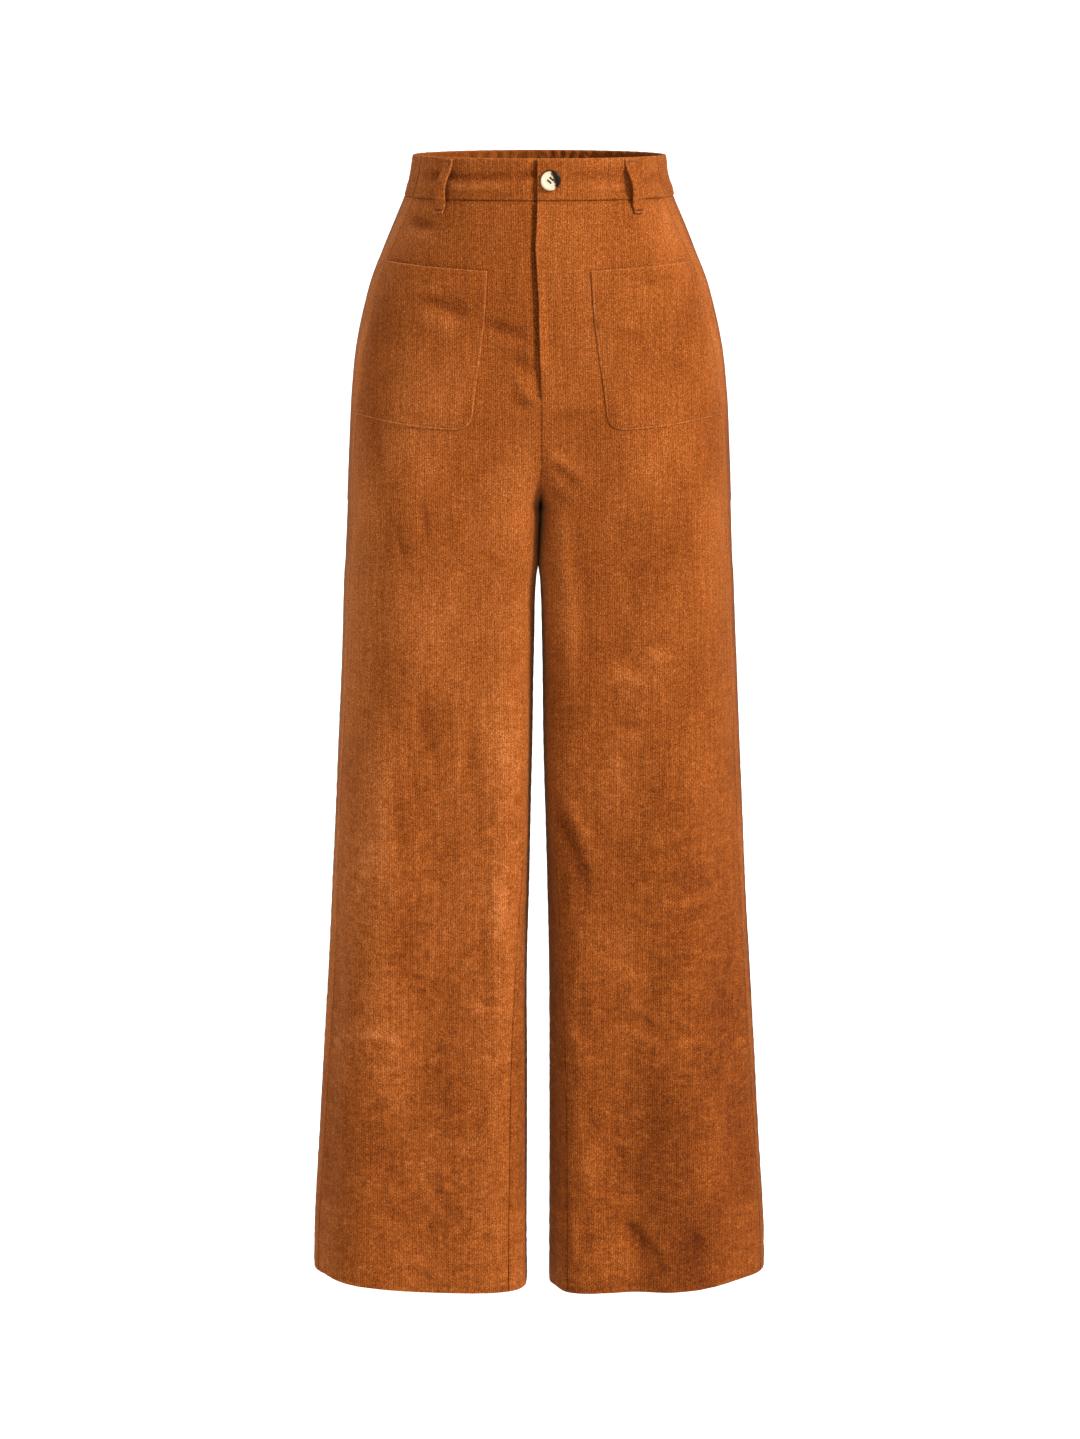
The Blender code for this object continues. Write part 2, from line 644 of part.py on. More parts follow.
for side_name, side in (("left", 1), ("right", -1)):
    front_panel(f"front_{side_name}", side, front_cloth)
    back_panel(f"back_{side_name}", side, back_cloth)
    band_front(f"waistband_front_{side_name}", side, band_cloth)
    pocket(f"pocket_{side_name}", side, pocket_cloth)
    belt_loop(f"belt_loop_front_{side_name}", side, FRONT_LOOP_TURN, loop_cloth)
    belt_loop(f"belt_loop_back_{side_name}", side, BACK_LOOP_TURN, loop_cloth)
band_back("waistband_back", band_cloth)

zip_depth = CLOTH + SEAM + 0.2 * MM
zip_from = UNDERLAP + 0.5 * MM
shield_depth = 2 * CLOTH + 2 * SEAM + 0.3 * MM
shield_rows = np.linspace(WAIST_SEAM - SEAM, FLY_BOTTOM + 6 * MM, 9)
zip_rows = np.linspace(ZIP_TOP, FLY_BOTTOM + 8 * MM, 8)
slider_rows = np.linspace(ZIP_TOP + SEAM + SLIDER_HEIGHT, ZIP_TOP + SEAM, 3)
slider_middle = zip_from + ZIP_WIDTH / 2
fly_strip(
    "fly_shield", np.linspace(SHIELD_FROM, SHIELD_TO, 7), shield_rows, shield_depth, CLOTH, shield_cloth
)
fly_strip(
    "zip_tape",
    np.linspace(zip_from, zip_from + ZIP_WIDTH, 5),
    zip_rows,
    zip_depth,
    ZIP_THICK,
    finish("zip tape", ZIP_COTTON, 0.8),
)
fly_strip(
    "zip_slider",
    np.linspace(slider_middle - SLIDER_WIDTH / 2, slider_middle + SLIDER_WIDTH / 2, 3),
    slider_rows,
    zip_depth,
    ZIP_THICK,
    finish("zip brass", BRASS, 0.35, 1.0),
)
button("button", finish("horn button", HORN, 0.3))
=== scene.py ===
"""High-waisted wide-leg corduroy trousers, hollow and upright as when worn, above a pale floor in soft
studio light.

Each piece of cloth is a thin shell on the surface of its solid: level rings of the body above the
crotch and of each leg below it, with the leg's folds, and finer creases on top. Metres, +Z up, the
front faces -Y, the wearer's left is +X.
"""

import math

import bpy
import numpy as np
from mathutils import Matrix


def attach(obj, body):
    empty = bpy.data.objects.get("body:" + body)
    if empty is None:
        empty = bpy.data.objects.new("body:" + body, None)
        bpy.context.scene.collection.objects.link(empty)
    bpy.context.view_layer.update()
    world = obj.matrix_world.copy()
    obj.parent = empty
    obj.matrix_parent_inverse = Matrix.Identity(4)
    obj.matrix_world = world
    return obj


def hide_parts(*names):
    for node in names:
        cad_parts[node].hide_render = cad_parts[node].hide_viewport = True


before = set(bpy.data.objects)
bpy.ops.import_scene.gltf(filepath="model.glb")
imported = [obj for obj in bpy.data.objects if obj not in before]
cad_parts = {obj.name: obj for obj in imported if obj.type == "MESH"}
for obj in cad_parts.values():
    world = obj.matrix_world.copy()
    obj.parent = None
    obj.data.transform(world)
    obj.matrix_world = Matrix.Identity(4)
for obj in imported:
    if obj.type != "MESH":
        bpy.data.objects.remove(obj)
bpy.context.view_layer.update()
MM = 0.001


# ---- Front panels -------------------------------------------------------------------------------
# Two fronts of rust-brown fine-wale corduroy, cut with the wales down the leg. Each is sewn to its back
# at the side seam and inseam and to the other front at the rise, and its hem is turned up 23 mm and
# sewn blind. The left one laps over the right one at the fly.

CLOTH = 1.6 * MM  # one layer of needlecord
SEAM = 0.3 * MM
WAIST_SEAM = -17.5 * MM
HIP = -178 * MM  # the rise seams begin to curve under here
CROTCH = -290 * MM
LEGS_PART = -356 * MM  # between this height and the crotch the thighs touch
LEGS_PART_FADE = 10 * MM
LEGS_CLOSE = 0.55 * MM
CROTCH_FADE = 4 * MM
HEM = -1021 * MM
HEM_HEIGHT = 23 * MM
HEM_LIFT = 7 * MM  # how much higher the hem hangs at the side than at the inner leg
HEM_LIFT_FROM = -900 * MM
LIFT_COSINE = 0.17  # the lift begins where the turn's cosine is this
HEM_DENT = 0.35 * MM
HEM_DENT_WIDTH = 1.6 * MM
GRAIN_LINE = 60 * MM  # the wale this far from the middle runs straight down each panel
EDGE_ROUND = 1.5 * MM  # how far in from an edge the cloth turns down into its seam or fold
THIN_EDGE = 0.15  # the share of the wall's thickness left at the very edge
SEAM_FLAT = 9 * MM  # creases die out this close to a seam
SIDES = (("left", 1), ("right", -1))  # the wearer's

# Rings of the surface, in mm: a ring's height, the side's distance from the middle, the inner leg's
# distance from the middle, how far the front and the back lie from the side's plane, and how far (in
# percent) the ring's corners stand out from an ellipse. The corner at the front of the inner leg is
# sharper: a superellipse of this power, whose 2 is an ellipse.
SECTIONS = (
    # height, side, inner, front, back, squareness, power of the inner front corner
    (19.0, 111.4, 0.0, 91.0, 95.0, 0.0, 2.0),
    (0.0, 114.5, 0.0, 92.5, 97.0, 0.0, 2.0),
    (-17.5, 119.4, 0.0, 94.5, 100.5, 0.5, 2.0),
    (-38.0, 128.0, 0.0, 98.0, 107.0, 1.5, 2.1),
    (-62.0, 138.4, 0.0, 101.5, 113.5, 3.0, 2.2),
    (-89.0, 149.3, 0.0, 104.5, 119.5, 4.5, 2.3),
    (-116.0, 156.7, 0.0, 107.0, 124.0, 5.5, 2.4),
    (-150.0, 164.0, 0.0, 109.0, 127.0, 7.0, 2.5),
    (-190.0, 168.7, 0.0, 110.5, 128.0, 8.0, 2.8),
    (-240.0, 171.4, 0.0, 110.5, 126.0, 7.5, 4.2),
    (-290.0, 173.5, 0.0, 109.0, 121.0, 5.0, 5.6),
    (-320.0, 174.9, 0.0, 107.4, 116.0, 4.2, 6.0),
    (-340.0, 175.9, 0.1, 106.2, 112.6, 3.7, 6.0),
    (-355.0, 176.6, 1.5, 105.1, 110.3, 3.5, 6.0),
    (-420.0, 178.9, 3.4, 101.0, 102.0, 3.0, 6.0),
    (-500.0, 182.8, 5.0, 95.5, 95.0, 3.0, 6.0),
    (-610.0, 188.4, 7.6, 88.0, 88.0, 3.0, 6.0),
    (-720.0, 194.6, 10.0, 80.5, 82.0, 3.0, 5.6),
    (-880.0, 204.4, 10.2, 72.0, 77.0, 3.5, 5.2),
    (-1000.0, 210.8, 10.2, 68.0, 75.0, 4.0, 5.0),
    (-1021.0, 210.8, 10.0, 67.5, 75.0, 4.0, 5.0),
)

# Where the seams run round a ring, in degrees: 90 is the front, 180 the side, 270 the back, and 0 the
# inner leg.
SEAM_TURNS = (
    # height, side seam, inseam, middle's shift to the wearer's left in mm
    (-60.0, 158.0, 0.0, 0.0),
    (-120.0, 155.0, 0.0, 0.8),
    (-185.0, 153.0, 0.0, 1.8),
    (-290.0, 154.0, 0.0, 1.2),
    (-340.0, 155.0, 8.0, -0.6),
    (-420.0, 156.0, 20.0, -0.8),
    (-560.0, 157.0, 38.0, -1.0),
    (-760.0, 159.0, 46.5, -0.9),
    (-1021.0, 162.0, 47.5, -0.9),
)
MIDDLE_REACH = 60 * MM  # the middle's shift dies out this far from it

# The legs' largest folds: +1 is the wearer's left leg and -1 the right one. A fold stands out by its
# height, or sinks in below 0.
FOLDS = (
    # leg, angle at top, at bottom, top mm, bottom mm, height mm, half width in degrees
    (-1, 52.0, 50.0, -420.0, -1000.0, 2.0, 10.0),
    (-1, 86.0, 93.0, -470.0, -1150.0, -3.5, 21.0),
    (-1, 121.0, 127.0, -430.0, -1150.0, 2.5, 16.0),
    (-1, 152.0, 151.0, -600.0, -1150.0, -3.0, 13.0),
    (-1, 228.0, 222.0, -400.0, -1150.0, -4.5, 20.0),
    (-1, 266.0, 262.0, -360.0, -1150.0, 3.5, 18.0),
    (-1, 308.0, 300.0, -430.0, -1150.0, -5.0, 18.0),
    (1, 39.0, 36.0, -520.0, -1150.0, -4.0, 8.0),
    (1, 53.0, 52.0, -620.0, -1150.0, 3.0, 9.0),
    (1, 69.0, 84.0, -840.0, -1150.0, -6.0, 12.0),
    (1, 104.0, 108.0, -430.0, -1100.0, 3.0, 18.0),
    (1, 137.0, 139.0, -480.0, -1150.0, -4.5, 17.0),
    (1, 217.0, 224.0, -480.0, -1150.0, -4.0, 18.0),
    (1, 251.0, 258.0, -380.0, -1150.0, 3.5, 16.0),
    (1, 294.0, 287.0, -380.0, -1150.0, -5.5, 19.0),
    (1, 326.0, 322.0, -600.0, -1150.0, 2.5, 12.0),
)
FOLD_FADE = 120.0  # mm over which a fold rises from flat at each end

# Creases of the fronts. u is the distance from the grain line towards the side, in mm.
FRONT_CREASES = (
    # leg, u start, height start, u end, height end, bow, depth (below 0) or height, half width
    (-1, 56, -101, -8, -120, -3.0, -2.1, 5.5),
    (-1, -3, -117, -56, -135, 1.5, -2.0, 5.0),
    (-1, 30, -93, 2, -109, 0.0, -0.9, 4.0),
    (-1, 60, -118, 5, -133, -3.0, 0.8, 7.0),
    (-1, 78, -30, 26, -40, 3.0, -2.2, 5.5),
    (-1, -34, -146, -56, -168, 0.0, -1.6, 6.0),
    (-1, -30, -180, -55, -200, 2.0, -1.7, 5.0),
    (-1, -36, -168, -60, -190, 2.0, 0.8, 3.5),
    (-1, 70, -290, 57, -342, 1.0, -0.9, 3.6),
    (-1, 45, -268, 37, -320, 1.0, -0.9, 3.6),
    (-1, -8, -316, -28, -342, 2.0, -0.9, 5.0),
    (-1, 92, -196, 84, -262, 2.0, -0.8, 6.0),
    (-1, -40, -236, 6, -262, 4.0, -0.7, 6.0),
    (-1, -4, -430, -2, -560, 3.0, -0.9, 6.0),
    (-1, 42, -440, 30, -520, 4.0, -1.1, 8.0),
    (-1, 68, -520, 58, -628, 4.0, -1.0, 7.0),
    (-1, -22, -600, -28, -705, 2.0, 0.9, 5.5),
    (-1, -10, -640, -14, -740, 2.0, -0.9, 5.0),
    (-1, 118, -772, 56, -773, 1.0, 0.8, 4.0),
    (-1, 120, -781, 60, -783, 1.0, -0.7, 4.0),
    (-1, 52, -791, 17, -798, 1.0, 0.7, 3.8),
    (-1, 110, -850, 66, -838, -3.0, -0.8, 5.0),
    (-1, 64, -876, 30, -858, 2.0, 0.7, 5.0),
    (-1, 40, -906, 12, -946, 4.0, -1.1, 6.0),
    (-1, -4, -700, 22, -716, 2.0, 0.8, 5.0),
    (-1, -26, -756, 8, -742, 2.0, 0.9, 5.0),
    (-1, 100, -930, 52, -950, 3.0, -0.8, 6.0),
    (-1, 90, -985, 30, -992, 2.0, 0.8, 5.0),
    (1, -60, -243, -22, -272, 3.0, -1.7, 4.6),
    (1, -62, -262, -32, -284, 0.0, -1.1, 3.8),
    (1, -64, -232, -30, -254, 2.0, 0.8, 5.0),
    (1, -62, -201, -4, -199, -3.0, -0.9, 4.4),
    (1, -28, -119, -3, -127, 0.0, -0.8, 4.4),
    (1, 2, -129, 35, -140, 1.0, -1.1, 4.8),
    (1, -46, -24, -20, -31, 0.0, -0.9, 4.6),
    (1, 14, -92, 76, -88, 3.0, -0.6, 7.0),
    (1, -46, -262, -31, -470, 4.0, 1.6, 8.0),
    (1, 8, -352, 46, -334, 2.0, -0.6, 6.0),
    (1, -10, -420, 34, -452, 3.0, 0.9, 7.0),
    (1, 22, -424, 70, -416, 2.0, 0.4, 7.0),
    (1, 60, -398, 24, -410, 2.0, -0.7, 5.0),
    (1, 4, -490, 34, -494, 1.0, 0.8, 4.2),
    (1, 0, -478, 40, -483, 1.0, -0.8, 4.2),
    (1, -57, -538, -12, -654, 5.0, -1.9, 6.0),
    (1, -44, -530, -4, -628, 5.0, 0.9, 7.0),
    (1, 28, -607, 90, -589, 3.0, -1.1, 4.8),
    (1, 36, -650, 116, -636, -3.0, 1.0, 4.2),
    (1, 44, -661, 112, -650, -3.0, -0.8, 4.2),
    (1, -8, -700, 44, -729, 3.0, 1.0, 6.0),
    (1, 20, -690, 60, -710, 3.0, -0.8, 5.0),
    (1, 74, -699, 128, -705, 2.0, 0.8, 4.2),
    (1, -70, -748, -26, -794, 4.0, -2.0, 6.0),
    (1, -52, -742, -12, -802, 4.0, 1.2, 6.5),
    (1, -8, -757, 72, -793, 3.0, 1.1, 4.2),
    (1, 10, -747, 54, -769, 2.0, -1.2, 4.2),
    (1, 56, -775, 113, -788, 2.0, 0.8, 4.2),
    (1, 62, -800, 120, -820, 3.0, -0.7, 5.0),
    (1, -44, -842, -18, -1010, -5.0, 1.6, 7.0),
    (1, -8, -870, 22, -893, 2.0, -1.3, 4.2),
    (1, 66, -880, 112, -866, 3.0, -0.9, 6.0),
    (1, 8, -941, 40, -996, 6.0, -1.4, 4.6),
    (1, 21, -950, 54, -1008, 6.0, -1.4, 4.6),
    (1, -6, -950, 26, -1012, 6.0, 1.2, 7.0),
    (1, 70, -950, 96, -996, 4.0, -1.0, 6.0),
)

# Where the nap is crushed or stroked another way, on the fronts: below 0 darker, above 0 paler.
FRONT_NAP = (
    # leg, u, height, half width, half height, tone
    (-1, 24, -477, 17, 28, -0.8),
    (-1, 56, -566, 14, 52, -0.6),
    (-1, 55, -669, 12, 46, -0.7),
    (-1, 25, -730, 17, 36, -0.8),
    (-1, 24, -845, 15, 50, -0.9),
    (-1, 21, -936, 11, 20, -0.9),
    (-1, 92, -617, 22, 20, 0.5),
    (-1, 88, -702, 22, 46, 0.6),
    (-1, 72, -843, 15, 24, 0.7),
    (-1, 96, -775, 30, 8, 0.7),
    (-1, -30, -520, 12, 90, 0.6),
    (-1, -28, -690, 14, 120, 0.5),
    (-1, 4, -740, 12, 14, 0.6),
    (-1, -22, -905, 18, 60, 0.4),
    (-1, 90, -880, 16, 30, -0.5),
    (-1, 60, -160, 28, 20, 0.3),
    (-1, 100, -150, 12, 60, -0.4),
    (1, 12, -436, 26, 14, 0.7),
    (1, 52, -420, 18, 10, 0.3),
    (1, 6, -520, 22, 30, 0.5),
    (1, -14, -560, 12, 26, 0.5),
    (1, 62, -560, 20, 20, -0.4),
    (1, 70, -620, 26, 16, -0.6),
    (1, 2, -690, 22, 20, 0.6),
    (1, 92, -745, 26, 24, -0.5),
    (1, -12, -894, 14, 16, 0.8),
    (1, 2, -993, 18, 14, 0.9),
    (1, 46, -905, 18, 30, -0.7),
    (1, 82, -978, 14, 22, -0.6),
    (1, 100, -880, 16, 30, 0.4),
    (1, -60, -930, 14, 70, -0.6),
)

# The fly: the left front laps over the right one, to this edge (mm past the middle, to the wearer's
# right).
FLY_EDGE = (
    # height, lap
    (19.0, 1.7),
    (-17.5, 1.7),
    (-62.0, 2.8),
    (-94.0, 1.5),
    (-148.0, 0.5),
    (-178.0, 0.0),
)
FLY_BOTTOM = -182 * MM
FLY_SINK_FROM = 11 * MM  # the right front starts to sink this far from the middle
FLY_SINK_TO = 3 * MM  # and has sunk below the overlap this far from it
FLY_SINK_FADE = 10 * MM
UNDERLAP = 4 * MM  # the right front's edge reaches this far under the overlap
LAP_CURL = 2.4 * MM  # how far the overlap's free edge stands away
LAP_CURL_REACH = 9 * MM
LAP_WOBBLE = 0.25 * MM


def of_leg(table, leg):
    """The rows of a table for one leg, without their first column."""
    return [row[1:] for row in table if row[0] == leg]


def reading(table, column, height):
    """One column of a table at the given heights (in m), on a cubic curve through its rows."""
    rows = np.array(sorted(table), float)
    at, value = rows[:, 0], rows[:, column]
    slope = np.gradient(value, at)
    z = np.clip(np.asarray(height, float) / MM, at[0], at[-1])
    i = np.clip(np.searchsorted(at, z) - 1, 0, len(at) - 2)
    span = at[i + 1] - at[i]
    t = (z - at[i]) / span
    rise = value[i] * (1 + 2 * t) * (1 - t) ** 2 + value[i + 1] * t**2 * (3 - 2 * t)
    return rise + span * (slope[i] * t * (1 - t) ** 2 + slope[i + 1] * t**2 * (t - 1))


def ease(t):
    """0 to 1, level at both ends: 3t squared less 2t cubed."""
    t = np.clip(t, 0.0, 1.0)
    return t * t * (3 - 2 * t)


def ring_bulge(turn, z):
    """How many times further than an ellipse a squared ring stands out: 1 + k sin squared of twice the
    angle, and at the front of the inner leg (cos^p + sin^p)^(-1/p), a superellipse of power p."""
    a = np.radians(turn)
    rounded_corner = 1 + reading(SECTIONS, 5, z) / 100 * np.sin(2 * a) ** 2
    power = reading(SECTIONS, 6, z)
    sharp_corner = (np.abs(np.cos(a)) ** power + np.abs(np.sin(a)) ** power) ** (-1 / power)
    return np.where((np.cos(a) > 0) & (np.sin(a) > 0), sharp_corner, rounded_corner)


def ring_sizes(z):
    """A ring's middle, half width, front depth and back depth. Above the crotch a leg's ring reaches
    past the middle plane, which cuts it along the rise seams, and by the hip its own middle has moved
    to that plane."""
    side = reading(SECTIONS, 1, z) * MM
    inner = reading(SECTIONS, 2, z) * MM
    rise = ease((z - CROTCH) / (HIP - CROTCH))
    half = np.where(z > CROTCH, side / (2 - rise), (side - inner) / 2)
    return side - half, half, reading(SECTIONS, 3, z) * MM, reading(SECTIONS, 4, z) * MM


def fold_height(leg, turn, z):
    """How far the leg's folds move the cloth out: a Gaussian round the leg, eased from flat at both
    ends."""
    total = np.zeros(np.broadcast(turn, z).shape)
    for turn_top, turn_end, top, end, height, width in of_leg(FOLDS, leg):
        along = (top - z / MM) / (top - end)
        centre = turn_top + (turn_end - turn_top) * along
        away = (turn - centre + 180.0) % 360.0 - 180.0
        strength = ease((top - z / MM) / FOLD_FADE) * ease((z / MM - end) / FOLD_FADE)
        total = total + height * MM * strength * np.exp(-((away / width) ** 2))
    return total


def bare_point(leg, turn, z):
    """A point of the outer surface: the ring's squared ellipse at that angle, moved out by the
    folds."""
    turn, z = np.broadcast_arrays(np.asarray(turn, float), np.asarray(z, float))
    middle, half, front, back = ring_sizes(z)
    a = np.radians(turn)
    depth = np.where(np.sin(a) > 0, front, back)
    out = np.stack([-np.cos(a) / half, -np.sin(a) / depth])
    out = out / np.linalg.norm(out, axis=0)
    fold = fold_height(leg, turn, z)
    bulge = ring_bulge(turn, z)
    touching = ease((z - LEGS_PART) / LEGS_PART_FADE) * ease((CROTCH - z) / CROTCH_FADE + 0.5)
    x = middle - half * bulge * np.cos(a) + fold * out[0] + SEAM / 2 - LEGS_CLOSE * touching
    y = -depth * bulge * np.sin(a) + fold * out[1]
    shift = reading(SEAM_TURNS, 3, z) * MM * np.exp(-((x / MIDDLE_REACH) ** 2))
    return np.stack([leg * x + shift, y, z], axis=-1)


def outward(leg, turn, z):
    """The surface's unit normal: the cross product of its two tangents, pointing out of the cloth."""
    step, drop = 0.5, 0.5 * MM
    round_it = bare_point(leg, turn + step, z) - bare_point(leg, turn - step, z)
    down_it = bare_point(leg, turn, z - drop) - bare_point(leg, turn, z + drop)
    normal = leg * np.cross(down_it, round_it)
    return normal / np.linalg.norm(normal, axis=-1, keepdims=True)


def surface(leg, turn, z, out=0.0):
    """Points on the surface, moved out along its normal (in, below 0)."""
    turn, z, out = np.broadcast_arrays(*(np.asarray(part, float) for part in (turn, z, out)))
    return bare_point(leg, turn, z) + out[..., None] * outward(leg, turn, z)


def turn_at(distance, z):
    """The angle of the front where the surface is that far from the middle plane. On the superellipse
    its tangent is (x^-p - 1)^(1/p), and past the ring's middle it is found in eight steps, because the
    bulge depends on it."""
    middle, half, _, _ = ring_sizes(z)
    across = (middle - distance) / half
    power = reading(SECTIONS, 6, z)
    inner = np.degrees(np.arctan((np.clip(across, 1e-9, 1.0) ** -power - 1) ** (1 / power)))
    outer = np.full(across.shape, 90.0)
    for _ in range(8):
        outer = np.degrees(np.arccos(np.clip(across / ring_bulge(outer, z), -1.0, 0.0)))
    return np.where(across > 0, inner, outer)


def distance_at(turn, z):
    """How far the surface is from the middle plane at an angle."""
    middle, half, _, _ = ring_sizes(z)
    return middle - half * ring_bulge(turn, z) * np.cos(np.radians(turn))


def arc(start, end, z):
    """The distance along a ring between two angles: the integral of its speed, by Gauss's rule on ten
    points."""
    places, weights = np.polynomial.legendre.leggauss(10)
    _, half, front, back = ring_sizes(z)
    step = 0.25
    total = 0.0
    for place, weight in zip(places, weights):
        turn = start + (end - start) * (place + 1) / 2
        depth = np.where(np.sin(np.radians(turn)) > 0, front, back)
        before, after = (ring_bulge(turn + by, z) for by in (-step, step))
        lower, upper = np.radians(turn - step), np.radians(turn + step)
        across = half * (after * np.cos(upper) - before * np.cos(lower))
        along = depth * (after * np.sin(upper) - before * np.sin(lower))
        total = total + weight / 2 * np.hypot(across, along)
    return total * (end - start) / (2 * step)


def seam_turn(distance, turn, z):
    """The angle that lies a short distance along the ring from a given angle."""
    return turn + distance / arc(turn, turn + 1.0, z)


def inner_turn(z):
    """The angle of the rise seam above the crotch, or of the inseam below it."""
    return np.where(z > CROTCH, turn_at(0.0, z), reading(SEAM_TURNS, 2, z))


def rise_turn(z):
    """The angle where a back's ring meets the middle plane. It is found in steps, as the bulge depends
    on it."""
    middle, half, _, _ = ring_sizes(z)
    across = middle / half
    turn = 360.0 - np.degrees(np.arccos(np.clip(across, -1.0, 1.0)))
    for _ in range(30):
        turn = 360.0 - np.degrees(np.arccos(np.clip(across / ring_bulge(turn, z), -1.0, 1.0)))
    return turn


def side_turn(z):
    """The angle of the side seam."""
    return reading(SEAM_TURNS, 1, z)


def lifted(turn, z):
    """A leg row's heights: its outer side is drawn up towards the hem."""
    side_share = ease((LIFT_COSINE - np.cos(np.radians(turn))) / (1 + LIFT_COSINE))
    return z + HEM_LIFT * side_share * ease((HEM_LIFT_FROM - z) / (HEM_LIFT_FROM - HEM))


def close_to_ends(length, count, near):
    """Shares from 0 to 1 across rows of these lengths: the near distances at both ends, and even steps."""
    near = np.asarray(near) / length[:, None]
    first = near[:, -1:]
    middle = first + (1 - 2 * first) * np.linspace(0, 1, count)
    return np.concatenate([near[:, :-1], middle, 1 - near[:, :-1][:, ::-1]], axis=1)


def columns_between(first, last, count, near):
    """One row of distances from first to last, close together at both ends."""
    return first + (last - first) * close_to_ends(np.array([last - first]), count, near)


def rows_between(top, bottom, count, near):
    """A column of heights from top to bottom, close together at both ends."""
    return top - columns_between(0.0, top - bottom, count, near).T


def turns_between(start, end, z, count, near):
    """The angles of a grid's columns between two edges, close together at both."""
    return start + (end - start) * close_to_ends(arc(start, end, z)[:, 0], count, near)


def rounded(distance, radius=EDGE_ROUND):
    """The share of a wall's thickness left this far from its edge: a quarter of an ellipse."""
    t = np.clip(distance / radius, 0.0, 1.0)
    return THIN_EDGE + (1 - THIN_EDGE) * np.sqrt(1 - (1 - t) ** 2)


def wall_faces(leg, turn, z, face, thick, edge):
    """Outer and inner points of a wall whose outer face lies this far out. edge is the share of its
    thickness."""
    return [surface(leg, turn, z, face - thick / 2 + way * thick / 2 * edge) for way in (1, -1)]


CREASE_RISE = 0.4  # share of its length over which a crease rises from flat
RIDGE_SHARE = 0.3  # height of the ridge beside a crease
RIDGE_AWAY = 1.9  # and its distance, in half widths


def crease_height(table, u, z):
    """How far creases move the cloth: each is a Gaussian across a chord bent into a parabola, with a
    lower ridge of the other sign on one side, and rises from flat at its ends."""
    total = np.zeros(np.broadcast(u, z).shape)
    for u0, z0, u1, z1, bow, height, width in np.array(table, float) * MM:
        length = math.hypot(u1 - u0, z1 - z0)
        along_u, along_z = (u1 - u0) / length, (z1 - z0) / length
        t = ((u - u0) * along_u + (z - z0) * along_z) / length
        across = (z - z0) * along_u - (u - u0) * along_z - 4 * bow * t * (1 - t)
        strength = ease((0.5 - np.abs(t - 0.5)) / CREASE_RISE)
        ridge = RIDGE_SHARE * np.exp(-((across / width - RIDGE_AWAY) ** 2))
        total = total + height * strength * (np.exp(-((across / width) ** 2)) - ridge)
    return total


def unevenness(u, z, size, stretch, seed):
    """Soft unevenness, about -1 to 1: sixteen waves in seeded directions, stretched along the leg."""
    rng = np.random.default_rng(seed)
    total = 0.0
    for angle, pace, phase in rng.uniform((0, 0.6, 0), (math.pi, 1.7, 2 * math.pi), (16, 3)):
        k = 2 * math.pi * pace / size
        total = total + np.sin(k * (u * math.cos(angle) + z / stretch * math.sin(angle)) + phase)
    return total / 5.0


SLOW_HEIGHT = 0.35 * MM
SLOW_SIZE = 85 * MM
CRINKLE_SIZE = 17 * MM
CRINKLE_AT_HIP = 0.06 * MM
CRINKLE_GROWTH = 0.16 * MM
CRINKLE_GROWS_FROM = -180 * MM
CRINKLE_GROWS_OVER = 500 * MM


def worn_relief(creases, leg, u, z, seed):
    """All of a panel's own relief: its creases, a slow unevenness, and small crinkles that grow down
    the leg."""
    down = ease((CRINKLE_GROWS_FROM - z) / CRINKLE_GROWS_OVER)
    slow = SLOW_HEIGHT * unevenness(u, z, SLOW_SIZE, 2.2, seed)
    crinkle = (CRINKLE_AT_HIP + CRINKLE_GROWTH * down) * unevenness(u, z, CRINKLE_SIZE, 0.75, seed + 1)
    return crease_height(of_leg(creases, leg), u, z) + slow + crinkle


# Painted shade and highlight that follow the relief: darker in troughs, paler on ridges, clipped to these
# tones.
CREASE_TONE = 0.5  # the tone of a millimetre of relief
TROUGH_TONE = -0.9
RIDGE_TONE = 0.6
NAP_SHARE = 0.75
NAP_RAGGED = 0.45  # how ragged the outline of a crushed patch is
TONE_MIDDLE = 35 * MM  # distance of a leg's middle from the grain line
TONE_REACH = 75 * MM

# Lines painted along an edge, darker below 0 or paler: painted shade in a seam, a painted shadow beside
# the overlap, and on a fold or free edge a paler line that is partly worn pile and partly painted
# highlight.
SEAM_LINE = (0.8, -0.5)  # half width in mm, tone
LAP_LINE = (0.8, 0.9)
LAP_SHADOW = (4.5, -1.2)
HEM_LINE = (1.2, 0.6)
WAIST_LINE = (1.2, -1.0)

# Painted shade and light down and across each leg, mostly darker towards the hem.
LEG_TONES = (
    # height, right leg's tone at its inner side, middle and outer side, left leg's at the same three
    (19.0, -0.15, 0.0, 0.15, -0.1, 0.0, 0.0),
    (-110.0, -0.3, -0.05, 0.25, 0.1, 0.0, 0.15),
    (-210.0, -0.1, 0.1, 0.1, -0.1, -0.1, -0.25),
    (-300.0, 0.0, 0.1, 0.3, -0.25, -0.15, -0.06),
    (-420.0, 0.2, 0.1, 0.35, -0.4, -0.35, -0.3),
    (-630.0, 0.05, 0.05, 0.15, -0.7, -0.35, -0.7),
    (-830.0, -0.2, -0.2, -0.2, -0.65, -0.75, -1.0),
    (-1021.0, -0.3, -0.2, -0.25, -0.9, -0.8, -1.05),
)


def painted_leg_shade(leg, u, z):
    """Painted shade and light: a slow change of tone down and across a leg, mostly darker towards the hem.
    """
    first = 1 if leg < 0 else 4
    inner, middle, outer = (reading(LEG_TONES, first + i, z) for i in range(3))
    across = (u - TONE_MIDDLE) / TONE_REACH
    return middle + ease(across) * (outer - middle) + ease(-across) * (inner - middle)


